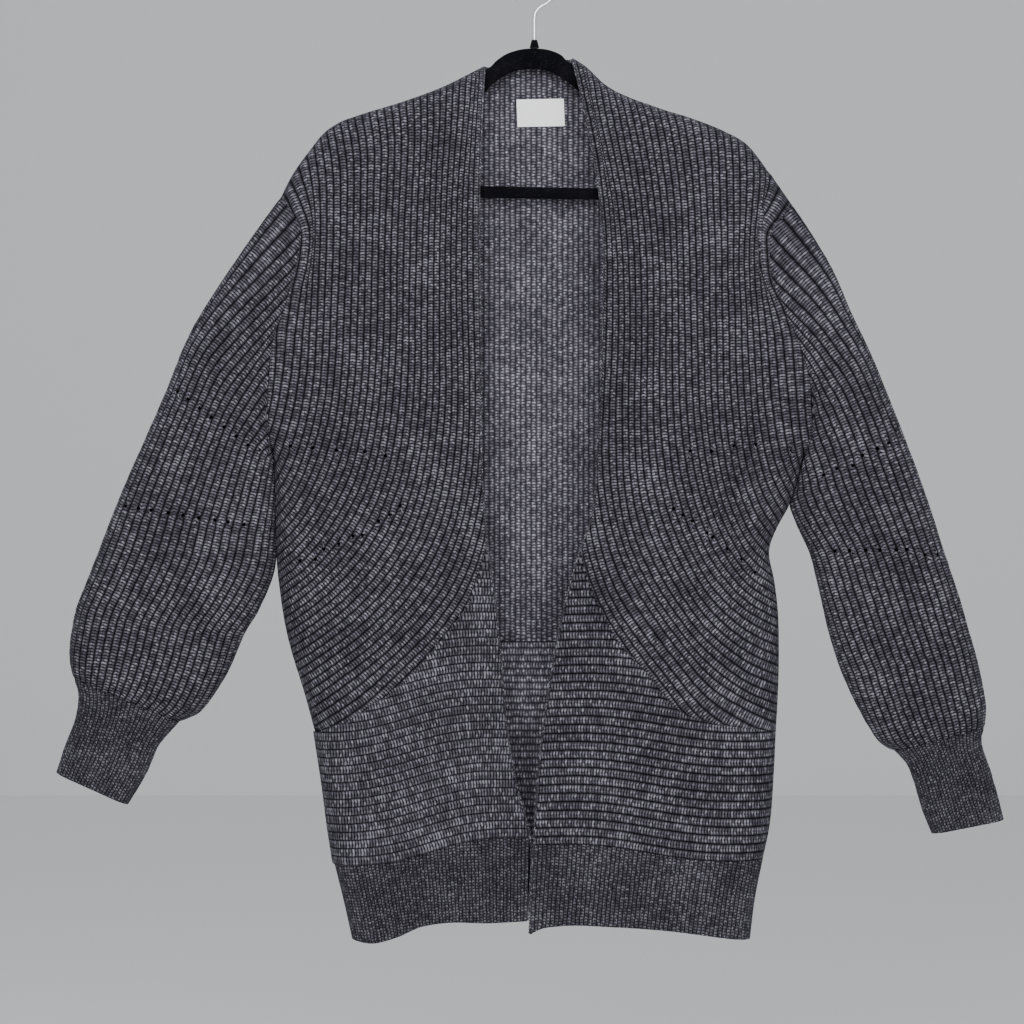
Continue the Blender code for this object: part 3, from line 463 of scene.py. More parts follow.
FRONT_OUTLINE = {}
LOWER_OUTLINE = {}
for side in ("right", "left"):
    shoulder, armhole, mitre, front_edge, lower_edge = [
        along(lines[side], FINE_STEPS) for lines in (SHOULDER, ARMHOLE, MITRE, FRONT_EDGE, LOWER_EDGE)]
    upper_side = side_stretch(side, 0, MITRE[side][-1][1])
    lower_side = side_stretch(side, MITRE[side][-1][1], LOWER_END_DOWN[side])
    FRONT_OUTLINE[side] = outline(shoulder, armhole, upper_side, mitre[::-1], front_edge[::-1])
    LOWER_OUTLINE[side] = outline(mitre, lower_side, hem_line(side, FINE_STEPS)[::-1],
                                  lower_edge[::-1])


def hem_points(side, u, v):
    """Places on a front hem band: u runs from the front edge outwards, v down."""
    top = hem_line(side, u)
    bottom = along(HEM_BOTTOM[side], u)
    edge = side_stretch(side, LOWER_END_DOWN[side], SHEET_END)
    straight = edge[0] + (edge[-1] - edge[0]) * v[:, None]
    bulge = along(edge, v) - straight
    return top + (bottom - top) * v[:, None] + bulge * (u**4)[:, None]


def back_edges(down):
    """Left and right edges of the back at heights on the sheet."""
    edges = []
    for side, closed in (("right", CLOSED_LINES[2]), ("left", CLOSED_LINES[5])):
        line = np.vstack([along(ARMHOLE[side], FINE_STEPS), closed[1:]])
        edges.append(np.interp(down, line[:, 1], line[:, 0]))
    return edges


def back_outline():
    """Outline of the upper back, down to its join with the lower back."""
    down = np.linspace(ARMHOLE["left"][0][1], BACK_JOIN_DOWN, 121)
    right_edge, left_edge = back_edges(down)
    return np.vstack([along(SHOULDER["right"][::-1], FINE_STEPS), NECK_LINE,
                      along(SHOULDER["left"], FINE_STEPS), np.stack([left_edge, down], axis=-1)[1:],
                      np.stack([right_edge, down], axis=-1)[::-1]])


def back_points(u, v):
    """Places on the upper back's uncut cloth: u runs from the wearer's right to left, v down."""
    start, end = np.array(BACK_SPREAD)
    return start + (end - start) * np.stack([u, v], axis=-1)


def band_points(top, bottom, u, v, corner_drop=0.0):
    """Places on a band across the back: u from the wearer's right to left, v down."""
    down = top + (bottom + corner_drop * np.abs(2 * u - 1) ** 4 - top) * v
    low, high = back_edges(down)
    return np.stack([low + (high - low) * u, down], axis=-1)


# %% [markdown]
# A sleeve leaves the body along the armhole, where it shares the body's depth, and turns into its
# own flattened ring further down. The two are blended over the first part of its length.

# %% Places on the sleeves
def ring_section(rings, u, v, inset, radius):
    """Tube through flat rings: u runs round, from the outer edge over the front, v along."""
    rings = np.asarray(rings, float)
    ring = smooth(np.linspace(0, 1, len(rings)), rings, v)
    outer = ring[:, 0:2]
    across = ring[:, 2:4] - outer
    width = np.hypot(across[:, 0], across[:, 1])
    half = np.where(u <= 0.5, 2 * u, 2 - 2 * u)
    sign = np.where(u <= 0.5, -1.0, 1.0)
    share = round_in(half, width, radius, both_ends=True)
    distance = np.minimum(share, 1 - share) * width
    direction = across / width[:, None] * np.where(share < 0.5, 1.0, -1.0)[:, None]
    shift, level = wrap(distance, direction, radius, ring[:, 4], inset)
    return outer + across * share[:, None] + shift, sign * level, share, sign


def sleeve(side, u, v, inset):
    """Cloth of a sleeve, which leaves the body along the armhole; u counts ribs to the inner edge."""
    rings = SLEEVE_RINGS[side]
    zero = np.zeros(len(u))
    count = np.interp(v, RIB_COUNT_PLACES, RIB_COUNTS[side])
    half = np.clip(np.where(u <= 0.5, 2 * u, 2 - 2 * u) * SLEEVE_RIBS / count, 0, 1) / 2
    u = np.where(u <= 0.5, half, 1 - half)
    plain, _, share, sign = ring_section(rings, u, v, zero, SLEEVE_ROUND)
    inset = inset - fold_height(plain, "sleeve_" + side) * np.where(sign < 0, 1.0, 0.6)
    points, level, _, _ = ring_section(rings, u, v, inset, SLEEVE_ROUND)
    leave = np.clip(v / SLEEVE_LEAVES_BODY, 0, 1)
    stay = 1 - leave * leave * (3 - 2 * leave)
    seam = along(ARMHOLE[side], share)
    first = np.array(rings[0], float)
    bow = (seam - first[:2] - (first[2:4] - first[:2]) * share[:, None]) * stay[:, None]
    distance, direction = edge_frame(plain + bow)
    shift, body_level = wrap(distance, direction, EDGE_ROUND, half_depth(plain + bow), inset)
    points = plain + bow + (points - plain) * (1 - stay)[:, None] + shift * stay[:, None]
    level = level * (1 - stay) + sign * (body_level + SEAM_GAP / 2) * stay
    return to_model(points, level)


# %% [markdown]
# Every piece is made in the same few steps: a grid or a wire is laid out, points that meet are
# merged, a wall or a bevel is added, and the finished piece is given its material, hung on the
# frame's root body, and the solid it stands for is hidden.

# %% Helpers for pieces
WELD_DISTANCE = 0.00002


def select_only(*pieces):
    """Select these pieces alone, and make the first one active."""
    bpy.ops.object.select_all(action="DESELECT")
    for piece in pieces:
        piece.select_set(True)
    bpy.context.view_layer.objects.active = pieces[0]


def new_grid(name, columns, rows):
    """A grid primitive, and the column and row of each of its points."""
    bpy.ops.object.select_all(action="DESELECT")
    bpy.ops.mesh.primitive_grid_add(x_subdivisions=columns, y_subdivisions=rows, size=1)
    piece = bpy.context.object
    piece.name = name
    flat = np.empty(len(piece.data.vertices) * 3)
    piece.data.vertices.foreach_get("co", flat)
    flat = flat.reshape(-1, 3) + 0.5
    return piece, np.rint(flat[:, 0] * columns).astype(int), np.rint(flat[:, 1] * rows).astype(int)


def weld(outwards=False):
    """Merge points of the active piece that lie in one place."""
    bpy.ops.object.mode_set(mode="EDIT")
    bpy.ops.mesh.select_all(action="SELECT")
    bpy.ops.mesh.remove_doubles(threshold=WELD_DISTANCE)
    if outwards:
        bpy.ops.mesh.normals_make_consistent(inside=False)
    bpy.ops.object.mode_set(mode="OBJECT")


def thicken(piece, thickness, offset):
    """Give a sheet a wall of a thickness in millimetres."""
    wall = piece.modifiers.new("wall", "SOLIDIFY")
    wall.thickness = thickness * MM
    wall.offset = offset
    bpy.ops.object.modifier_apply(modifier=wall.name)


def round_edges(piece, width, segments):
    """Round the sharp edges of a piece with a bevel, its width in millimetres."""
    edge = piece.modifiers.new("edge", "BEVEL")
    edge.width = width * MM
    edge.segments = segments
    edge.limit_method = "ANGLE"
    bpy.ops.object.modifier_apply(modifier=edge.name)


def wire(name, path, radius, resolution):
    """A round wire along places in metres, its radius in millimetres, as a curve."""
    curve = bpy.data.curves.new(name, "CURVE")
    curve.dimensions = "3D"
    curve.bevel_depth = radius * MM
    curve.bevel_resolution = resolution
    curve.use_fill_caps = True
    line = curve.splines.new("POLY")
    line.points.add(len(path) - 1)
    line.points.foreach_set("co", np.column_stack([path, np.ones(len(path))]).ravel())
    piece = bpy.data.objects.new(name, curve)
    bpy.context.scene.collection.objects.link(piece)
    return piece


def hand_over(piece, material, slot, *nodes):
    """Give a piece its material, hang it on the root body and hide the solids it stands for."""
    piece.data.materials.clear()
    piece.data.materials.append(material)
    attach(piece, "root")
    if nodes:
        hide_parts(*nodes)
    print(piece.name, "faces", len(piece.data.polygons))


# %% [markdown]
# Now the cloth itself. A grid primitive has one column of points on each rib's ridge, one in each
# groove and one on each flank, so grooves stay narrow and ridges round. Its points are laid in
# place, the cloth outside the panel's outline is cut away, and every point is lifted by the rib's
# height along the cloth's own outward direction. The UV map counts ribs across and stitches down,
# square to each rib, so that the material can draw one stitch in each cell.

# %% Knit a panel
RIB_SHARES = [0.0, 0.2, 0.5, 0.8]
RIB_PROFILE = [-0.8, 0.75, 1.3, 0.75, -0.8]
FINE_PROFILE = [-0.45, 0.35, 0.65, 0.35, -0.45]
STITCH_LENGTH = 2.9
ROW_STEP = 5.0
UNEVEN = 0.12
FULL_PITCH = {"rib": 5.0, "fine": 2.5}
TUCK_DEPTH = 1.6
TUCK_WIDTH = 3.0
MARGIN_WIDTH = 4.0
MARGIN_SINK = 0.1
random = np.random.default_rng(7)


def inside(points, edge):
    """Whether each point lies inside a closed outline."""
    start = edge
    end = np.roll(edge, -1, axis=0)
    right = points[:, :1]
    down = points[:, 1:]
    spans = (start[:, 1] > down) != (end[:, 1] > down)
    slope = (end[:, 0] - start[:, 0]) / np.where(end[:, 1] == start[:, 1], 1.0, end[:, 1] - start[:, 1])
    crossing = start[:, 0] + (down - start[:, 1]) * slope
    return (spans & (right < crossing)).sum(axis=1) % 2 == 1


def cut_out(points, edge):
    """Move points that lie outside an outline onto it, and say which those are."""
    outside = ~inside(points, edge)
    distance, away = nearest(points, np.vstack([edge, edge[:1]]))
    outside &= distance > 0.01
    held = points.copy()
    held[outside] -= away[outside] * distance[outside, None]
    return held, outside


def tuck(points, seams):
    """How far the cloth sinks at its seams, which are lines on the sheet."""
    if not seams:
        return np.zeros(len(points))
    distance = np.min([nearest(points, along(line, FINE_STEPS))[0] for line in seams], axis=0)
    return TUCK_DEPTH * np.exp(-distance / TUCK_WIDTH)


def end_tuck(v, length, at_end=True):
    """How far a tube sinks at the seams round its two ends."""
    sunk = np.exp(-v * length / TUCK_WIDTH)
    if at_end:
        sunk = sunk + np.exp(-(1 - v) * length / TUCK_WIDTH)
    return TUCK_DEPTH * sunk


def stitch_map(mesh, base, column, row, ribs):
    """Write the UV map: ribs across, and stitches along each rib, square to the rib's own line."""
    step = len(RIB_SHARES)
    middle = base[:, 2::step]
    ahead = np.gradient(middle, axis=0)
    length = np.linalg.norm(ahead, axis=2)
    run = np.cumsum(length, axis=0)
    ahead = ahead / np.maximum(length, 1e-9)[..., None]
    corners = np.empty(len(mesh.loops), int)
    mesh.loops.foreach_get("vertex_index", corners)
    columns = column[corners]
    rows = row[corners]
    rib = np.repeat(columns.reshape(-1, 4).min(axis=1) // step, 4)
    offset = ((base[rows, columns] - middle[rows, rib]) * ahead[rows, rib]).sum(axis=1)
    place = random.random(ribs)[rib] + (run[rows, rib] + offset) / MM / STITCH_LENGTH
    share = columns - rib * step
    across = rib + np.append(RIB_SHARES, 1.0)[share]
    mesh.uv_layers[0].name = "stitches"
    mesh.uv_layers[0].data.foreach_set("uv", np.stack([across, place], axis=-1).ravel())


def body_margin(plan):
    """Distance of points on the sheet to the body's outline."""
    return edge_frame(plan)[0]


def knit(name, ribs, length, lay, drape, kind="rib", margin=body_margin, sink=None, edge=None,
         closed=False, relief=None, rise=1.0):
    """A ribbed sheet: lay(u, v) gives its plan and drape(plan, inset) its places in the model."""
    columns = ribs * len(RIB_SHARES)
    rows = round(length / ROW_STEP)
    piece, column, row = new_grid(name, columns, rows)
    mesh = piece.data
    mesh.name = name

    across = np.array([rib + share for rib in range(ribs) for share in RIB_SHARES] + [ribs])
    v_grid, u_grid = np.meshgrid(np.linspace(0, 1, rows + 1), across / ribs, indexing="ij")
    plan = lay(u_grid.ravel(), v_grid.ravel())
    outside = np.zeros(len(plan), bool)
    if edge is not None:
        plan, outside = cut_out(plan, edge)
    shape = (rows + 1, columns + 1, 3)
    zero = np.zeros(len(plan))
    base = drape(plan, zero).reshape(shape)
    outward = drape(plan, zero - 1.0).reshape(shape) - base
    pitch = np.linalg.norm(np.gradient(base, across, axis=1), axis=2) / MM
    profile = RIB_PROFILE if kind == "rib" else FINE_PROFILE
    height = np.interp(across % 1.0, RIB_SHARES + [1.0], profile) + random.normal(0, UNEVEN, shape[:2])
    height = height * np.clip(pitch / FULL_PITCH[kind], 0, 1) * rise
    if sink is not None:
        height -= sink(plan).reshape(shape[:2])
    if relief is not None:
        height += relief(u_grid, v_grid)
    flush = np.clip(margin(plan).reshape(shape[:2]) / MARGIN_WIDTH, 0, 1)
    flush = flush * flush * (3 - 2 * flush)
    height = height * flush - MARGIN_SINK * (1 - flush)
    if closed:
        height[:, -1] = height[:, 0]
    places = base + outward * height[..., None]
    mesh.vertices.foreach_set("co", places[row, column].ravel())
    stitch_map(mesh, base, column, row, ribs)

    middle = (rows // 2, columns // 4)
    side_step = places[middle[0], middle[1] + 1] - places[middle]
    down_step = places[middle[0] + 1, middle[1]] - places[middle]
    if np.dot(np.cross(side_step, down_step), outward[middle]) < 0:
        mesh.flip_normals()
    if edge is not None:
        drop_outside(mesh, outside.reshape(shape[:2])[row, column])
    if closed:
        weld()
    return piece


def drop_outside(mesh, outside):
    """Delete the faces whose corners all lie outside the panel, and merge corners that meet."""
    cloth = bmesh.new()
    cloth.from_mesh(mesh)
    cloth.verts.ensure_lookup_table()
    lost = [face for face in cloth.faces if all(outside[vert.index] for vert in face.verts)]
    bmesh.ops.delete(cloth, geom=lost, context="FACES")
    bmesh.ops.remove_doubles(cloth, verts=cloth.verts[:], dist=0.00005)
    cloth.to_mesh(mesh)
    cloth.free()


# %% [markdown]
# Two rows of small eyelets cross each sleeve and each front, where the knitter moved a stitch over.
# They are real holes: three faces at each place are removed before the cloth is thickened, and the
# corners round them are pulled into an even circle.

# %% Eyelets
EYELET_RADIUS = 1.85
EYELETS = {
    "sleeve_right": [
        (178, 393), (189, 402), (201, 411), (213, 418), (226, 429), (239, 437), (251, 445),
        (263, 451), (128, 508), (141, 509), (154, 510), (172, 512), (186, 514), (202, 517),
        (216, 519), (230, 522), (246, 524),
    ],
    "front_right": [
        (292, 446), (314, 449), (337, 451), (366, 453), (387, 455), (400, 507), (390, 515),
        (379, 522), (364, 534), (355, 537), (339, 544), (325, 550), (317, 559), (301, 561),
    ],
    "front_left": [
        (690, 452), (710, 451), (733, 447), (755, 445), (788, 452), (672, 508), (682, 514),
        (692, 522), (704, 532), (712, 537), (725, 548), (738, 560), (752, 571),
    ],
    "sleeve_left": [
        (821, 476), (835, 470), (849, 464), (861, 458), (874, 448), (884, 441), (895, 433),
        (832, 552), (847, 552), (863, 552), (878, 552), (893, 552), (903, 551), (922, 553),
        (935, 553),
    ],
}
EYELET_BACK_DROP = 9.0


def open_eyelets(piece, places, front=True):
    """Cut small round holes through one face of a sheet at places on the layout sheet."""
    mesh = bmesh.new()
    mesh.from_mesh(piece.data)
    shown = [face for face in mesh.faces if (face.calc_center_median().y < 0) == front]
    centres = np.array([face.calc_center_median()[:] for face in shown])
    removed = set()
    for right, down in places:
        hole = to_model(np.array([[right, down]], float), np.zeros(1))[0]
        distance = np.hypot(centres[:, 0] - hole[0], centres[:, 2] - hole[2])
        nearest_face = shown[int(distance.argmin())]
        along_rib = sorted(nearest_face.edges, key=lambda edge: edge.calc_length())[-2:]
        faces = {face for edge in along_rib for face in edge.link_faces}
        removed |= faces
        rim = sorted({vert for face in faces for vert in face.verts}, key=lambda vert: vert.index)
        centre = sum((vert.co for vert in rim), Vector()) / len(rim)
        ordered = sorted(rim, key=lambda vert: atan2(vert.co.z - centre.z, vert.co.x - centre.x))
        turns = np.arange(len(ordered)) * 2 * pi / len(ordered)
        angles = [atan2(vert.co.z - centre.z, vert.co.x - centre.x) for vert in ordered]
        turns += np.mean(np.array(angles) - turns)
        for vert, turn in zip(ordered, turns):
            ray = Vector((cos(turn), 0.0, sin(turn))) * EYELET_RADIUS * MM
            vert.co = Vector((centre.x, (vert.co.y + centre.y) / 2, centre.z)) + ray
    lost = sorted(removed, key=lambda face: face.index)
    bmesh.ops.delete(mesh, geom=lost, context="FACES")
    mesh.to_mesh(piece.data)
    mesh.free()


# %% [markdown]
# Woollen yarn is matt, a little hairy and never one flat colour. Two shader node groups hold what
# every knitted piece shares. The first draws the stitches: in each cell of the UV map two strands
# slant to a V, and it gives a mask of painted shade for the small hole between one row and the next,
# for the gap between rows and for the groove at each side. The second is the wool's own fibre and
# its heathered tone.

# %% Node helpers
def calc(tree, operation, *values, clamp=False):
    """Add a Math node and return its output; values are numbers or sockets."""
    node = tree.nodes.new("ShaderNodeMath")
    node.operation = operation
    node.use_clamp = clamp
    for socket, value in zip(node.inputs, values):
        if isinstance(value, (int, float)):
            socket.default_value = value
        else:
            tree.links.new(value, socket)
    return node.outputs[0]


def ease(tree, value, low, high):
    """A smooth step from 0 at low to 1 at high."""
    node = tree.nodes.new("ShaderNodeMapRange")
    node.interpolation_type = "SMOOTHSTEP"
    tree.links.new(value, node.inputs["Value"])
    node.inputs["From Min"].default_value = low
    node.inputs["From Max"].default_value = high
    return node.outputs["Result"]


def blend_colour(tree, factor, first, second):
    """Mix two colours, each a socket or a tuple."""
    node = tree.nodes.new("ShaderNodeMix")
    node.data_type = "RGBA"
    tree.links.new(factor, node.inputs["Factor"])
    for name, value in (("A", first), ("B", second)):
        socket = [item for item in node.inputs if item.name == name and item.type == "RGBA"][0]
        if isinstance(value, tuple):
            socket.default_value = (*value, 1.0)
        else:
            tree.links.new(value, socket)
    return [item for item in node.outputs if item.type == "RGBA"][0]


def new_group(name, inputs, outputs):
    """A shader node group with named sockets, and its two end nodes."""
    group = bpy.data.node_groups.new(name, "ShaderNodeTree")
    for socket, kind, value in inputs:
        made = group.interface.new_socket(socket, in_out="INPUT", socket_type=kind)
        if value is not None:
            made.default_value = value
    for socket, kind in outputs:
        group.interface.new_socket(socket, in_out="OUTPUT", socket_type=kind)
    start = group.nodes.new("NodeGroupInput")
    end = group.nodes.new("NodeGroupOutput")
    return group, start, end


# %% The stitch group
HOLE_WIDTH = (0.12, 0.42)
STRAND_EDGE = (0.2, 0.85)
STRAND_ROUNDNESS = 0.6
CENTRE_DIP = 0.3


def make_stitch_group():
    """Height, painted shade of the gaps, and tone of rib stitches, from a UV map that counts ribs and
    stitches.
    """
    group, start, end = new_group(
        "rib_stitch",
        [("Vector", "NodeSocketVector", None), ("Slant", "NodeSocketFloat", 0.55),
         ("Groove", "NodeSocketFloat", 0.2), ("Row Gap", "NodeSocketFloat", 0.5)],
        [("Height", "NodeSocketFloat"), ("Gap", "NodeSocketFloat"), ("Tone", "NodeSocketFloat"),
         ("Strand", "NodeSocketFloat")])
    split = group.nodes.new("ShaderNodeSeparateXYZ")
    group.links.new(start.outputs["Vector"], split.inputs[0])
    across = calc(group, "FRACT", split.outputs["X"])
    away = calc(group, "MULTIPLY", calc(group, "ABSOLUTE", calc(group, "SUBTRACT", across, 0.5)), 2.0)
    lean = calc(group, "MULTIPLY", away, start.outputs["Slant"])
    row = calc(group, "SUBTRACT", split.outputs["Y"], lean)
    phase = calc(group, "FRACT", row)
    strand = calc(group, "SINE", calc(group, "MULTIPLY", phase, pi))
    centre = calc(group, "SUBTRACT", 1.0, ease(group, away, *HOLE_WIDTH))
    thin = calc(group, "SUBTRACT", 1.0, ease(group, strand, *STRAND_EDGE))
    # Painted shade: the hole at the foot of each V, the groove at each rib's side and the gap between
    # rows are masks that darken the base colour.
    hole = calc(group, "MULTIPLY", centre, thin)
    inner = calc(group, "SUBTRACT", 1.0, start.outputs["Groove"])
    edge = calc(group, "DIVIDE", calc(group, "SUBTRACT", away, inner), start.outputs["Groove"],
                clamp=True)
    between = calc(group, "MULTIPLY", thin, start.outputs["Row Gap"])
    gap_shade_mask = calc(group, "MAXIMUM", calc(group, "MAXIMUM", edge, hole), between, clamp=True)
    dome = calc(group, "SUBTRACT", 1.0, calc(group, "MULTIPLY", away, away))
    raised = calc(group, "MULTIPLY", calc(group, "POWER", strand, STRAND_ROUNDNESS), dome)
    height = calc(group, "SUBTRACT", raised, calc(group, "MULTIPLY", centre, CENTRE_DIP))
    cell = group.nodes.new("ShaderNodeCombineXYZ")
    group.links.new(calc(group, "FLOOR", split.outputs["X"]), cell.inputs["X"])
    group.links.new(calc(group, "FLOOR", row), cell.inputs["Y"])
    group.links.new(calc(group, "SIGN", calc(group, "SUBTRACT", across, 0.5)), cell.inputs["Z"])
    chance = group.nodes.new("ShaderNodeTexWhiteNoise")
    chance.noise_dimensions = "3D"
    group.links.new(cell.outputs[0], chance.inputs["Vector"])
    group.links.new(height, end.inputs["Height"])
    group.links.new(gap_shade_mask, end.inputs["Gap"])
    group.links.new(chance.outputs["Value"], end.inputs["Tone"])
    group.links.new(strand, end.inputs["Strand"])
    return group


STITCH = make_stitch_group()

# %% The wool group
def make_wool_group():
    """Loose fibres and heathered tone of wool, from places in metres."""
    group, start, end = new_group(
        "wool_fibre",
        [("Vector", "NodeSocketVector", None), ("Fibre Scale", "NodeSocketFloat", 1500.0)],
        [("Height", "NodeSocketFloat"), ("Tone", "NodeSocketFloat"), ("Fluff", "NodeSocketFloat")])
    fine = group.nodes.new("ShaderNodeTexNoise")
    fine.inputs["Detail"].default_value = 3.0
    group.links.new(start.outputs["Vector"], fine.inputs["Vector"])
    group.links.new(start.outputs["Fibre Scale"], fine.inputs["Scale"])
    broad = group.nodes.new("ShaderNodeTexNoise")
    broad.inputs["Scale"].default_value = 26.0
    broad.inputs["Detail"].default_value = 4.0
    group.links.new(start.outputs["Vector"], broad.inputs["Vector"])
    fluff = group.nodes.new("ShaderNodeTexNoise")
    fluff.inputs["Scale"].default_value = 420.0
    fluff.inputs["Detail"].default_value = 2.0
    fluff.inputs["Distortion"].default_value = 1.2
    group.links.new(start.outputs["Vector"], fluff.inputs["Vector"])
    group.links.new(fine.outputs["Fac"], end.inputs["Height"])
    group.links.new(broad.outputs["Fac"], end.inputs["Tone"])
    group.links.new(ease(group, fluff.outputs["Fac"], 0.52, 0.72), end.inputs["Fluff"])
    return group


WOOL = make_wool_group()
print("node groups:", STITCH.name, WOOL.name)

# %% [markdown]
# The yarn is charcoal with a slight plum cast. Its base colour goes from nearly black in the gaps,
# which is painted shade, to a soft grey on the crown of each strand, which is painted highlight, over
# the random tone of stitches, heather and fluff; a little sheen stands for the fibres that catch
# light at a slant.

# %% Yarn materials
YARN_DARK = (0.017, 0.016, 0.021)
YARN_MID = (0.067, 0.063, 0.077)
YARN_LIGHT = (0.262, 0.252, 0.29)
# Painted shade: near-black colour laid into the grooves, the gaps between rows and the holes between
# stitches.
GAP_SHADE_COLOUR = (0.0008, 0.0007, 0.0013)
STITCH_SPREAD = 0.5
STITCH_BASE = -0.15
# Painted highlight: how much lighter the crown of each strand is made, from the stitch height.
CROWN_PAINTED_HIGHLIGHT = 0.75
HEATHER = 0.5
FLUFF_LIGHT = 0.22
FIBRE_LIFT = 0.16
FLUFF_LIFT = 0.12


def new_material(name, roughness):
    """A material and its Principled shader."""
    material = bpy.data.materials.new(name)
    material.use_nodes = True
    shader = material.node_tree.nodes["Principled BSDF"]
    shader.inputs["Roughness"].default_value = roughness
    return material, material.node_tree, shader


def add_group(tree, group, **values):
    """Place a node group in a material, with its own values."""
    node = tree.nodes.new("ShaderNodeGroup")
    node.node_tree = group
    for name, value in values.items():
        node.inputs[name.replace("_", " ")].default_value = value
    return node


def add_wool(tree, scale=1500.0):
    """Place the wool group in a material, reading the piece's own places in metres."""
    node = add_group(tree, WOOL, Fibre_Scale=scale)
    place = tree.nodes.new("ShaderNodeTexCoord")
    tree.links.new(place.outputs["Object"], node.inputs["Vector"])
    return node


def add_relief(tree, shader, height, distance):
    """Bump the shader's surface by a height, in metres."""
    relief = tree.nodes.new("ShaderNodeBump")
    relief.inputs["Distance"].default_value = distance
    tree.links.new(height, relief.inputs["Height"])
    tree.links.new(relief.outputs["Normal"], shader.inputs["Normal"])


def toned(colour, tone):
    """A colour made lighter or darker."""
    return tuple(value * tone for value in colour)


def yarn_material(name, slant, groove, row_gap, bump, gap_shade_strength, tone=1.0):
    """Knitted wool with stitches drawn on the UV map, with painted shade in the gaps and painted
    highlight on the crowns.
    """
    material, tree, shader = new_material(name, 0.85)
    shader.inputs["Sheen Weight"].default_value = 0.1
    shader.inputs["Sheen Roughness"].default_value = 0.45
    shader.inputs["Sheen Tint"].default_value = (0.22, 0.2, 0.26, 1.0)
    shader.inputs["Specular IOR Level"].default_value = 0.05
    count = tree.nodes.new("ShaderNodeUVMap")
    count.uv_map = "stitches"
    stitch = add_group(tree, STITCH, Slant=slant, Groove=groove, Row_Gap=row_gap)
    tree.links.new(count.outputs["UV"], stitch.inputs["Vector"])
    wool = add_wool(tree)
    lift = calc(tree, "MULTIPLY_ADD", stitch.outputs["Tone"], STITCH_SPREAD, STITCH_BASE)
    # Lighter on each strand's crown and darker down its sides: painted highlight and painted shade from
    # the stitch height, on top of the real random tone of stitches, heather and fluff.
    tone_and_painted_light = calc(tree, "MULTIPLY_ADD", stitch.outputs["Height"], CROWN_PAINTED_HIGHLIGHT, lift)
    heather = calc(tree, "SUBTRACT", wool.outputs["Tone"], 0.5)
    tone_and_painted_light = calc(tree, "MULTIPLY_ADD", heather, HEATHER, tone_and_painted_light)
    tone_and_painted_light = calc(tree, "MULTIPLY_ADD", wool.outputs["Fluff"], FLUFF_LIGHT, tone_and_painted_light, clamp=True)
    yarn = blend_colour(tree, ease(tree, tone_and_painted_light, 0.0, 0.75), toned(YARN_DARK, tone),
                        toned(YARN_MID, tone))
    yarn = blend_colour(tree, ease(tree, tone_and_painted_light, 0.55, 1.25), yarn, toned(YARN_LIGHT, tone))
    # Painted shade: the stitch gaps are blended towards the near-black gap colour.
    painted_gap_shade = calc(tree, "MULTIPLY", stitch.outputs["Gap"], gap_shade_strength)
    colour = blend_colour(tree, painted_gap_shade, yarn, GAP_SHADE_COLOUR)
    tree.links.new(colour, shader.inputs["Base Color"])
    fibre = calc(tree, "MULTIPLY_ADD", wool.outputs["Height"], FIBRE_LIFT, stitch.outputs["Height"])
    fibre = calc(tree, "MULTIPLY_ADD", wool.outputs["Fluff"], FLUFF_LIFT, fibre)
    add_relief(tree, shader, fibre, bump)
    return material


RIB_YARN = yarn_material("rib_yarn", slant=0.22, groove=0.27, row_gap=0.6, bump=0.0005,
                         gap_shade_strength=1.0)
# Painted light: the back's yarn colours are lifted by its tone, to make up for the shade the fronts cast
# on its inner face.
BACK_YARN_PAINTED_LIGHT = yarn_material("back_yarn_painted_light", slant=0.15, groove=0.22, row_gap=0.75, bump=0.0004,
                          gap_shade_strength=0.65, tone=1.85)
FINE_YARN = yarn_material("fine_rib_yarn", slant=0.3, groove=0.38, row_gap=0.12, bump=0.0004,
                          gap_shade_strength=0.65, tone=0.74)

# %% [markdown]
# A finished sheet is thickened with Solidify, shaded smooth up to the sharp turn at its rim,
# given its material and hung on the body it moves with, and the solid it stands for is hidden.

# %% Finish a panel
def finish_panel(piece, node, material):
    """Thicken a sheet, give it its yarn and hand it to the frame."""
    select_only(piece)
    thicken(piece, WALL, -1.0)
    bpy.ops.object.shade_smooth_by_angle(angle=radians(80))
    hand_over(piece, material, "knit", node)


# %% [markdown]
# The fronts hang from the shoulders. Their ribs start at the shoulder seam, pass the armhole and
# turn to meet the side seam, so the seams are tucked in along three of their edges.

# %% Fronts
FRONT_LENGTH = 640
for side in ("right", "left"):
    panel = "front_" + side
    seams = [SHOULDER[side], ARMHOLE[side], SIDE[side], MITRE[side]]
    piece = knit("rib_" + panel, round(STEERING_RIBS[side][-1][0]), FRONT_LENGTH,
                 lambda u, v, side=side: front_points(side, u, v),
                 lambda plan, inset, panel=panel: body(plan, -1, inset, panel),
                 sink=lambda plan, seams=seams: tuck(plan, seams), edge=FRONT_OUTLINE[side])
    open_eyelets(piece, EYELETS[panel])
    finish_panel(piece, panel, RIB_YARN)

# %% [markdown]
# Below the mitre the knitting turns: the lower fronts are ribbed across. They are knitted the same
# way, with u running down from rib to rib.

# %% Lower fronts
LOWER_FRONT_LENGTH = 240
for side in ("right", "left"):
    seams = [SIDE[side], MITRE[side], hem_line(side, FINE_STEPS)]
    piece = knit("rib_front_lower_" + side, LOWER_RIBS, LOWER_FRONT_LENGTH,
                 lambda u, v, side=side: lower_points(side, u, v),
                 lambda plan, inset, side=side: body(plan, -1, inset, "front_" + side),
                 sink=lambda plan, seams=seams: tuck(plan, seams), edge=LOWER_OUTLINE[side])
    finish_panel(piece, "front_lower_" + side, RIB_YARN)

# %% [markdown]
# The back is seen through the open front. Its inner face shows the same upright ribs, which a
# ribbed sheet gives on both of its faces. Its yarn is made lighter than the fronts' as painted
# light, to make up for the shade that the fronts cast on its inner face.

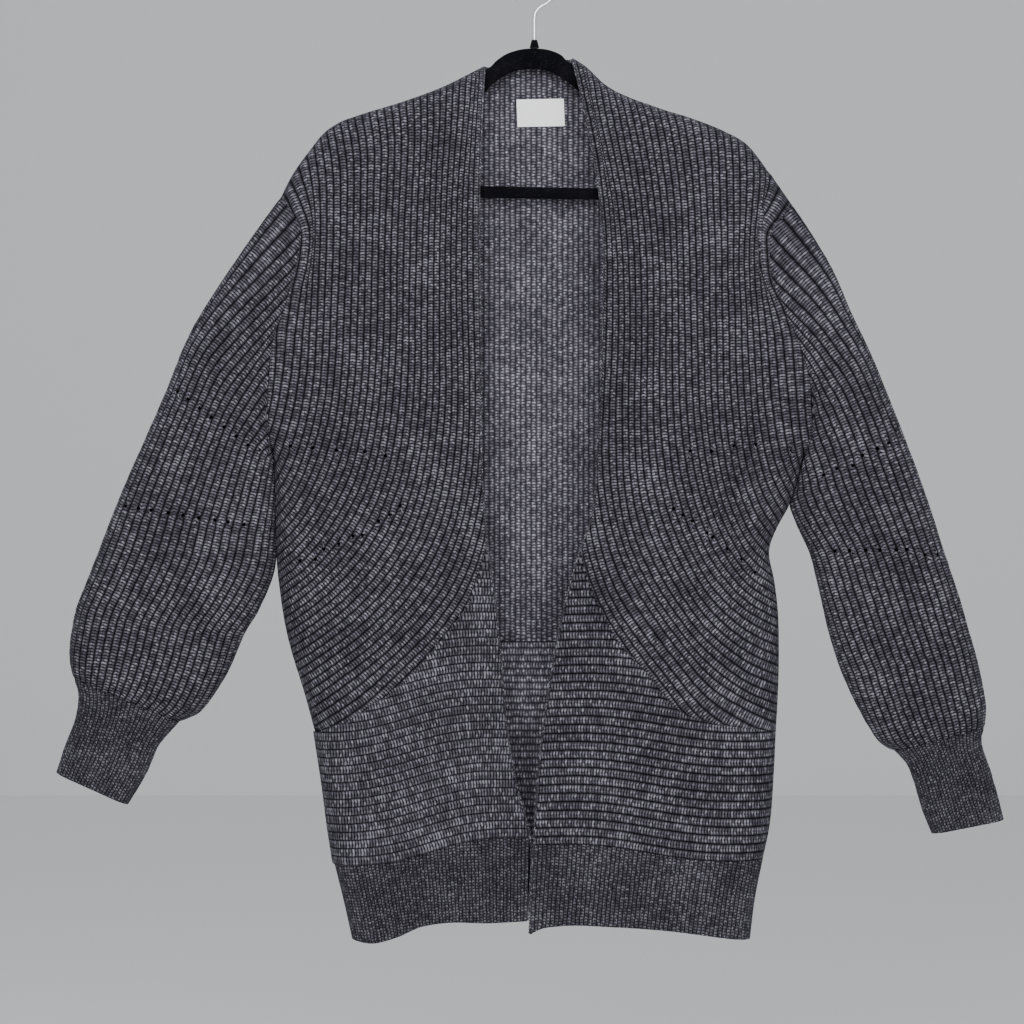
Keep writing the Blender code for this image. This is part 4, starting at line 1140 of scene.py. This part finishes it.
# %% Back
BACK_LENGTH = 600
BACK_LOWER_LENGTH = 480
BACK_LOWER_WIDTH = 470
side_seams = [joined(ARMHOLE[side], SIDE[side]) for side in ("right", "left")]
piece = knit("rib_back", BACK_RIBS, BACK_LENGTH, back_points,
             lambda plan, inset: body(plan, 1, inset, "back"), edge=back_outline(), rise=BACK_RISE,
             sink=lambda plan: tuck(plan, side_seams + [SHOULDER["right"], SHOULDER["left"]]))
finish_panel(piece, "back", BACK_YARN_PAINTED_LIGHT)
piece = knit("rib_back_lower", BACK_LOWER_RIBS, BACK_LOWER_LENGTH,
             lambda u, v: band_points(BACK_JOIN_DOWN, BACK_HEM_TOP_DOWN,
                                      round_in(v, BACK_LOWER_WIDTH, EDGE_ROUND, True), u),
             lambda plan, inset: body(plan, 1, inset, "back"), rise=BACK_RISE,
             sink=lambda plan: tuck(plan, side_seams))
finish_panel(piece, "back_lower", BACK_YARN_PAINTED_LIGHT)

# %% [markdown]
# Hem bands are knitted on finer needles in a one by one rib, so they have ribs half as wide.

# %% Hem bands
HEM_FRONT_LENGTH = 84
HEM_BACK_LENGTH = 80
for side in ("right", "left"):
    seams = [SIDE[side], hem_line(side, FINE_STEPS)]
    piece = knit("fine_hem_front_" + side, HEM_RIBS, HEM_FRONT_LENGTH,
                 lambda u, v, side=side: hem_points(side, round_in(u, FRONT_WIDTH, EDGE_ROUND), v),
                 lambda plan, inset, side=side: body(plan, -1, inset, "front_" + side),
                 kind="fine", sink=lambda plan, seams=seams: tuck(plan, seams))
    finish_panel(piece, "hem_front_" + side, FINE_YARN)
piece = knit("fine_hem_back", 2 * HEM_RIBS, HEM_BACK_LENGTH,
             lambda u, v: band_points(BACK_HEM_TOP_DOWN, BACK_HEM_BOTTOM_DOWN,
                                      round_in(u, 2 * FRONT_WIDTH, EDGE_ROUND, True), v,
                                      BACK_HEM_CORNER_DROP),
             lambda plan, inset: body(plan, 1, inset), kind="fine",
             sink=lambda plan: tuck(plan, side_seams))
finish_panel(piece, "hem_back", FINE_YARN)

# %% [markdown]
# A sleeve gathers into its cuff. The gathers are soft waves round the sleeve that grow towards
# the seam and are uneven in width. New ribs start along the inner edge as the sleeve widens.

# %% Sleeves
GATHERS = 15
GATHER_HEIGHT = 1.6
SLEEVE_LENGTH = 500
SLEEVE_RIB_WIDTH = 7.0


def gathers(u, v):
    """Waves of the cloth where a sleeve is gathered into its cuff."""
    wave = np.sin(2 * pi * (GATHERS * u + 0.35 * np.sin(6 * pi * u)))
    return GATHER_HEIGHT * wave * np.exp(-(1 - v) / 0.07)


def sleeve_margin(side, plan):
    """Distance round a sleeve to its outer or inner edge."""
    count = np.interp(plan[:, 1], RIB_COUNT_PLACES, RIB_COUNTS[side])
    ribs = np.minimum(plan[:, 0], 1 - plan[:, 0]) * 2 * SLEEVE_RIBS
    return np.minimum(ribs, np.maximum(count - ribs, 0)) * SLEEVE_RIB_WIDTH


def half_rib_on(u, v, ribs):
    """Places round a tube, turned by half a rib so that its two edges lie on a ridge."""
    return np.stack([np.mod(u - 0.5 / ribs, 1.0), v], axis=-1)


for side in ("right", "left"):
    panel = "sleeve_" + side
    piece = knit("rib_" + panel, 2 * SLEEVE_RIBS, SLEEVE_LENGTH,
                 lambda u, v: half_rib_on(u, v, 2 * SLEEVE_RIBS),
                 lambda plan, inset, side=side: sleeve(side, plan[:, 0], plan[:, 1], inset),
                 margin=lambda plan, side=side: sleeve_margin(side, plan),
                 sink=lambda plan: end_tuck(plan[:, 1], SLEEVE_LENGTH), closed=True, relief=gathers)
    open_eyelets(piece, EYELETS[panel])
    behind = [(right, down + EYELET_BACK_DROP) for right, down in EYELETS[panel]]
    open_eyelets(piece, behind, front=False)
    finish_panel(piece, panel, RIB_YARN)

# %% Cuffs
CUFF_LENGTH = 90
CUFF_RIB_WIDTH = 3.4


def cuff_surface(side, plan, inset):
    """Cloth of a cuff: a tube through its rings."""
    points, level, _, _ = ring_section(CUFF_RINGS[side], plan[:, 0], plan[:, 1], inset, CUFF_ROUND)
    return to_model(points, level)


def cuff_margin(plan):
    """Distance round a cuff to its outer or inner edge."""
    half = np.minimum(plan[:, 0], 1 - plan[:, 0]) * CUFF_RIBS
    return np.minimum(half, CUFF_RIBS / 2 - half) * CUFF_RIB_WIDTH


for side in ("right", "left"):
    piece = knit("fine_cuff_" + side, CUFF_RIBS, CUFF_LENGTH,
                 lambda u, v: half_rib_on(u, v, CUFF_RIBS),
                 lambda plan, inset, side=side: cuff_surface(side, plan, inset), kind="fine",
                 margin=cuff_margin,
                 sink=lambda plan: end_tuck(plan[:, 1], CUFF_LENGTH, at_end=False), closed=True)
    finish_panel(piece, "cuff_" + side, FINE_YARN)

# %% [markdown]
# The front edges end in a chain of twisted yarn. Each is two strands wound round each other along
# the edge. A strand is a poly curve with a round bevel, turned into a mesh.

# %% Edge cords
CORD_RADIUS = 0.6
CORD_PITCH = 6.0
CORD_STEPS_PER_TURN = 9
EDGE_OUT = 0.7


def strand(name, path, phase):
    """One strand wound round a path of places in metres."""
    steps = np.linalg.norm(np.diff(path, axis=0), axis=1)
    run = np.concatenate([[0.0], np.cumsum(steps)])
    count = int(run[-1] / MM / CORD_PITCH * CORD_STEPS_PER_TURN)
    places = np.linspace(0, run[-1], count)
    centre = np.stack([np.interp(places, run, path[:, k]) for k in range(3)], axis=-1)
    ahead = np.gradient(centre, axis=0)
    ahead /= np.linalg.norm(ahead, axis=1)[:, None]
    side_way = np.cross(ahead, (0.0, 1.0, 0.0))
    side_way /= np.linalg.norm(side_way, axis=1)[:, None]
    front_way = np.cross(ahead, side_way)
    angle = places / MM / CORD_PITCH * 2 * pi + phase
    centre += (np.cos(angle)[:, None] * side_way + np.sin(angle)[:, None] * front_way) * CORD_RADIUS * MM
    return wire(name, centre, CORD_RADIUS, 1)


def twisted_cord(name, path):
    """Two strands wound round each other, joined into one mesh."""
    select_only(strand(name + "_a", path, 0.0), strand(name + "_b", path, pi))
    bpy.ops.object.convert(target="MESH")
    bpy.ops.object.join()
    piece = bpy.context.object
    piece.name = name
    piece.data.shade_smooth()
    return piece


def cord_yarn():
    """Plain wool for cords, without stitches."""
    material, tree, shader = new_material("cord_yarn", 0.8)
    shader.inputs["Specular IOR Level"].default_value = 0.05
    wool = add_wool(tree)
    tone = calc(tree, "ADD", wool.outputs["Fluff"], calc(tree, "MULTIPLY", wool.outputs["Tone"], 0.6))
    tree.links.new(blend_colour(tree, ease(tree, tone, 0.1, 1.3), YARN_DARK, YARN_LIGHT),
                   shader.inputs["Base Color"])
    add_relief(tree, shader, wool.outputs["Height"], 0.0003)
    return material


CORD_YARN = cord_yarn()
for side in ("right", "left"):
    line = joined(FRONT_EDGE[side], LOWER_EDGE[side], [LOWER_EDGE[side][-1], HEM_BOTTOM[side][0]])
    points = along(line, np.linspace(0.001, 0.999, 240))
    points[:, 0] += EDGE_OUT if side == "right" else -EDGE_OUT
    cord = twisted_cord("edge_cord_" + side, body(points, -1, np.full(240, 1.0), "front_" + side))
    hand_over(cord, CORD_YARN, "knit")

# %% [markdown]
# A woven satin label is stitched inside the back of the neck. It is left blank. It lies on the
# inner face of the back, so its points come from the same surface, moved inwards.

# %% Neck label
LABEL_CORNERS = np.array([(516.5, 98.0), (564.0, 97.0), (517.5, 125.5), (565.0, 124.5)])
LABEL_INSET = 3.6
LABEL_THICK = 0.5
LABEL_BUCKLE = 0.35
LABEL_GRID = (24, 14)
label, column, row = new_grid("woven_label", *LABEL_GRID)
u = (column / LABEL_GRID[0])[:, None]
v = (row / LABEL_GRID[1])[:, None]
top = LABEL_CORNERS[0] + (LABEL_CORNERS[1] - LABEL_CORNERS[0]) * u
low = LABEL_CORNERS[2] + (LABEL_CORNERS[3] - LABEL_CORNERS[2]) * u
buckle = LABEL_BUCKLE * np.sin(3 * pi * u[:, 0]) * np.sin(pi * v[:, 0])
label.data.vertices.foreach_set("co", body(top + (low - top) * v, 1, LABEL_INSET + buckle).ravel())
thicken(label, LABEL_THICK, 0.0)
round_edges(label, 0.15, 2)
bpy.ops.object.shade_smooth_by_angle(angle=radians(50))


def label_cloth():
    """White satin with a fine weave."""
    material, tree, shader = new_material("label_cloth", 0.5)
    shader.inputs["Sheen Weight"].default_value = 0.2
    place = tree.nodes.new("ShaderNodeTexCoord")
    weave = tree.nodes.new("ShaderNodeTexWave")
    weave.inputs["Scale"].default_value = 900.0
    weave.inputs["Distortion"].default_value = 0.4
    tree.links.new(place.outputs["Object"], weave.inputs["Vector"])
    tree.links.new(blend_colour(tree, weave.outputs["Fac"], (0.90, 0.90, 0.90), (0.97, 0.97, 0.97)),
                   shader.inputs["Base Color"])
    add_relief(tree, shader, weave.outputs["Fac"], 0.0001)
    return material


hand_over(label, label_cloth(), "label", "neck_label")

# %% [markdown]
# The hanger is a flat plastic frame with a flocked, velvety coat. It is lofted round its loop: a
# grid primitive whose rows are sections of the frame, each a flat strip with round edges. The same
# rows as the solid's are used, read smoothly so that the loop has no corners.

# %% Hanger
HANGER_HALF_THICK = 2.5
ARM_CLEARANCE = 0.8
ARM_HEIGHT = 21.0
ARCH = [(488.5, 68, 489.5, 87), (496, 61, 500, 79), (505, 54.7, 509, 73.7), (518, 50, 520, 70.2),
        (534, 48.4, 534, 69.5), (550, 50.2, 547, 71), (561, 54.8, 556, 74.8), (570, 62.8, 566, 81)]
ARM_SHARES = [0.035, 0.08, 0.13, 0.19, 0.27, 0.36, 0.45, 0.54, 0.58]
HANGER_TIP = {
    "right": [(335, 131, 343, 150), (324, 144, 343, 157), (320, 162, 343, 166),
              (322, 181, 345, 175), (333, 193, 354, 181)],
    "left": [(730, 140, 721, 160), (742, 151, 722, 167), (747, 170, 722, 176),
             (744, 190, 721, 184), (733, 202, 713, 190)],
}
BAR = [(360, 196, 369, 183.6), (478, 198, 478, 185.8), (600, 200, 600, 188.2), (706, 202, 697, 190)]
HANGER_ROWS = 260
SECTION_POINTS = 24


def arm_rows(side):
    """Sections of a hanger arm, just under the shoulder it carries."""
    line = along(SHOULDER[side], np.array(ARM_SHARES))
    step = along(SHOULDER[side], np.array(ARM_SHARES) + 0.01) - line
    normal = np.stack([-step[:, 1], step[:, 0]], axis=-1)
    normal /= np.hypot(normal[:, 0], normal[:, 1])[:, None]
    normal *= np.sign(normal[:, 1])[:, None]
    top = line + normal * (WALL + ARM_CLEARANCE)
    low = line + normal * (WALL + ARM_CLEARANCE + ARM_HEIGHT)
    return [(*upper, *lower) for upper, lower in zip(top, low)]


def hanger_section(row, share):
    """Places round the frame's section at one row: share runs from 0 to 1."""
    outer = row[:, 0:2]
    inner = row[:, 2:4]
    unit = (inner - outer) / np.linalg.norm(inner - outer, axis=1)[:, None]
    angle = 2 * pi * share
    first = share < 0.5
    centre = np.where(first[:, None], outer + unit * HANGER_HALF_THICK, inner - unit * HANGER_HALF_THICK)
    points = centre - unit * (np.sin(angle) * HANGER_HALF_THICK)[:, None]
    return to_model(points, np.cos(angle) * HANGER_HALF_THICK)


loop = np.array(list(ARCH) + arm_rows("left") + HANGER_TIP["left"] + BAR[::-1]
                + HANGER_TIP["right"][::-1] + arm_rows("right")[::-1], float)
loop = np.vstack([loop[-3:], loop, loop[:4]])
middle_line = (loop[:, :2] + loop[:, 2:]) / 2
run = np.concatenate([[0.0], np.cumsum(np.linalg.norm(np.diff(middle_line, axis=0), axis=1))])
hanger, column, row = new_grid("flocked_hanger", SECTION_POINTS, HANGER_ROWS)
share = np.mod(column / SECTION_POINTS, 1.0)
station = run[3] + (run[-4] - run[3]) * np.mod(row / HANGER_ROWS, 1.0)
hanger.data.vertices.foreach_set("co", hanger_section(smooth(run, loop, station), share).ravel())
weld(outwards=True)
hanger.data.shade_smooth()


def velvet():
    """Black flock: short upright fibres that glow a little at a slant."""
    material, tree, shader = new_material("black_flock", 0.95)
    shader.inputs["Sheen Weight"].default_value = 0.15
    shader.inputs["Sheen Roughness"].default_value = 0.3
    shader.inputs["Specular IOR Level"].default_value = 0.05
    wool = add_wool(tree, 2600.0)
    tone = calc(tree, "MULTIPLY_ADD", wool.outputs["Fluff"], 0.5, wool.outputs["Tone"])
    tree.links.new(blend_colour(tree, ease(tree, tone, 0.3, 1.1), (0.0015, 0.0015, 0.0025),
                                (0.008, 0.0075, 0.0105)), shader.inputs["Base Color"])
    add_relief(tree, shader, wool.outputs["Height"], 0.0003)
    return material


VELVET = velvet()
hand_over(hanger, VELVET, "velvet", "hanger_frame")

# %% [markdown]
# The hook is bent from one piece of steel wire, set in a small black collar. The wire is a curve
# with a round bevel. The collar is a cone primitive with its edges rounded by a bevel.

# %% Hook and collar
WIRE_RADIUS = 1.65
STEM_RIGHT = 534.4
COLLAR_TOP = 40.0
COLLAR_BOTTOM = 48.0
COLLAR_RADII = (4.9, 2.8)
STEM_BEND = [(534.4, 20.0), (535.0, 14.0), (538.4, 8.6)]
HOOK_RADIUS = 22.0
HOOK_START = -55.0
HOOK_END = 222.0
HOOK_STEPS = 60
centre_down = HANG_POINT[1] + HOOK_RADIUS - WIRE_RADIUS
angles = np.radians(np.linspace(HOOK_START, HOOK_END, HOOK_STEPS))
ring = np.stack([HANG_POINT[0] + HOOK_RADIUS * np.cos(angles),
                 centre_down - HOOK_RADIUS * np.sin(angles)], axis=-1)
bend = along(STEM_BEND + [tuple(ring[0]), tuple(ring[2])], np.linspace(0.0, 0.84, 14))
route = np.vstack([[(STEM_RIGHT, COLLAR_TOP - 0.3), (STEM_RIGHT, 30.0)], bend, ring])
select_only(wire("steel_hook", to_model(route, np.zeros(len(route))), WIRE_RADIUS, 5))
bpy.ops.object.convert(target="MESH")
hook = bpy.context.object
hook.data.shade_smooth()


def steel():
    """Polished wire with fine drawn lines."""
    material, tree, shader = new_material("hook_steel", 0.28)
    shader.inputs["Metallic"].default_value = 1.0
    place = tree.nodes.new("ShaderNodeTexCoord")
    wear = tree.nodes.new("ShaderNodeTexNoise")
    wear.inputs["Scale"].default_value = 700.0
    tree.links.new(place.outputs["Object"], wear.inputs["Vector"])
    tree.links.new(blend_colour(tree, wear.outputs["Fac"], (0.52, 0.52, 0.54), (0.72, 0.72, 0.74)),
                   shader.inputs["Base Color"])
    rough = tree.nodes.new("ShaderNodeMapRange")
    rough.inputs["To Min"].default_value = 0.2
    rough.inputs["To Max"].default_value = 0.42
    tree.links.new(wear.outputs["Fac"], rough.inputs["Value"])
    tree.links.new(rough.outputs["Result"], shader.inputs["Roughness"])
    return material


hand_over(hook, steel(), "hook", "hanger_hook")
bpy.ops.object.select_all(action="DESELECT")
place = to_model(np.array([[STEM_RIGHT, (COLLAR_TOP + COLLAR_BOTTOM) / 2]]), np.zeros(1))[0]
bpy.ops.mesh.primitive_cone_add(vertices=48, radius1=COLLAR_RADII[0] * MM, radius2=COLLAR_RADII[1] * MM,
                                depth=(COLLAR_BOTTOM - COLLAR_TOP) * MM, location=place)
collar = bpy.context.object
collar.name = "hook_collar"
bpy.ops.object.transform_apply(location=True, rotation=True, scale=True)
round_edges(collar, 0.6, 3)
bpy.ops.object.shade_smooth_by_angle(angle=radians(40))
hand_over(collar, VELVET, "collar", "hanger_collar")

# %% [markdown]
# The studio is a pale floor and a pale wall far behind, with large soft lights. The camera stands
# straight in front of the garment, level with its middle, at the distance and lens that frame it
# as the photograph does: about one metre fills the picture.

# %% Studio
FLOOR_DOWN = 1.35
WALL_BACK = 5.5
STAGE_SIZE = 14.0


def stage_material():
    """Matt pale paint."""
    material, tree, shader = new_material("studio_paint", 0.9)
    shader.inputs["Base Color"].default_value = (0.88, 0.88, 0.87, 1.0)
    return material


PAINT = stage_material()
for name, place, turn in (("studio_floor", (0, 0, -FLOOR_DOWN), 0.0),
                          ("studio_wall", (0, WALL_BACK, -FLOOR_DOWN + STAGE_SIZE / 2), radians(90))):
    bpy.ops.mesh.primitive_plane_add(size=STAGE_SIZE, location=place, rotation=(turn, 0, 0))
    board = bpy.context.object
    board.name = name
    board.data.materials.append(PAINT)
    board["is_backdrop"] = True

LIGHTS = [
    ("key", (-0.5, -2.1, 0.5), 1.2, 46.0),
    ("fill", (1.3, -2.6, 0.0), 1.8, 42.0),
    ("top", (0.0, -0.6, 1.6), 1.6, 20.0),
]
AIM = Vector((-0.02, 0.0, -0.5))
for name, place, size, power in LIGHTS:
    lamp = bpy.data.lights.new(name, "AREA")
    lamp.shape = "SQUARE"
    lamp.size = size
    lamp.energy = power
    holder = bpy.data.objects.new(name, lamp)
    bpy.context.scene.collection.objects.link(holder)
    holder.location = place
    holder.rotation_euler = (Vector(place) - AIM).to_track_quat("Z", "Y").to_euler()
world = bpy.data.worlds.new("studio")
world.use_nodes = True
world.node_tree.nodes["Background"].inputs["Color"].default_value = (0.9, 0.93, 1.0, 1.0)
world.node_tree.nodes["Background"].inputs["Strength"].default_value = 0.55
bpy.context.scene.world = world

# %% Camera
CAMERA_DISTANCE = 3.0
FRAME_WIDTH = 1.024
SENSOR = 36.0
FRAME_CENTRE = to_model(np.array([[512.0, 512.0]]), np.zeros(1))[0]
camera = bpy.data.cameras.new("camera")
camera.sensor_width = SENSOR
camera.lens = SENSOR * CAMERA_DISTANCE / FRAME_WIDTH
viewer = bpy.data.objects.new("camera", camera)
bpy.context.scene.collection.objects.link(viewer)
viewer.location = (FRAME_CENTRE[0], -CAMERA_DISTANCE, FRAME_CENTRE[2])
viewer.rotation_euler = (radians(90), 0, 0)
bpy.context.scene.camera = viewer
print("lens", round(camera.lens, 1), "mm")

# %% [markdown]
# Last, the size of what was made is printed.

# %% Sizes and finish
low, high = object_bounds()
print("visual box", [round(x, 4) for x in low], [round(x, 4) for x in high])
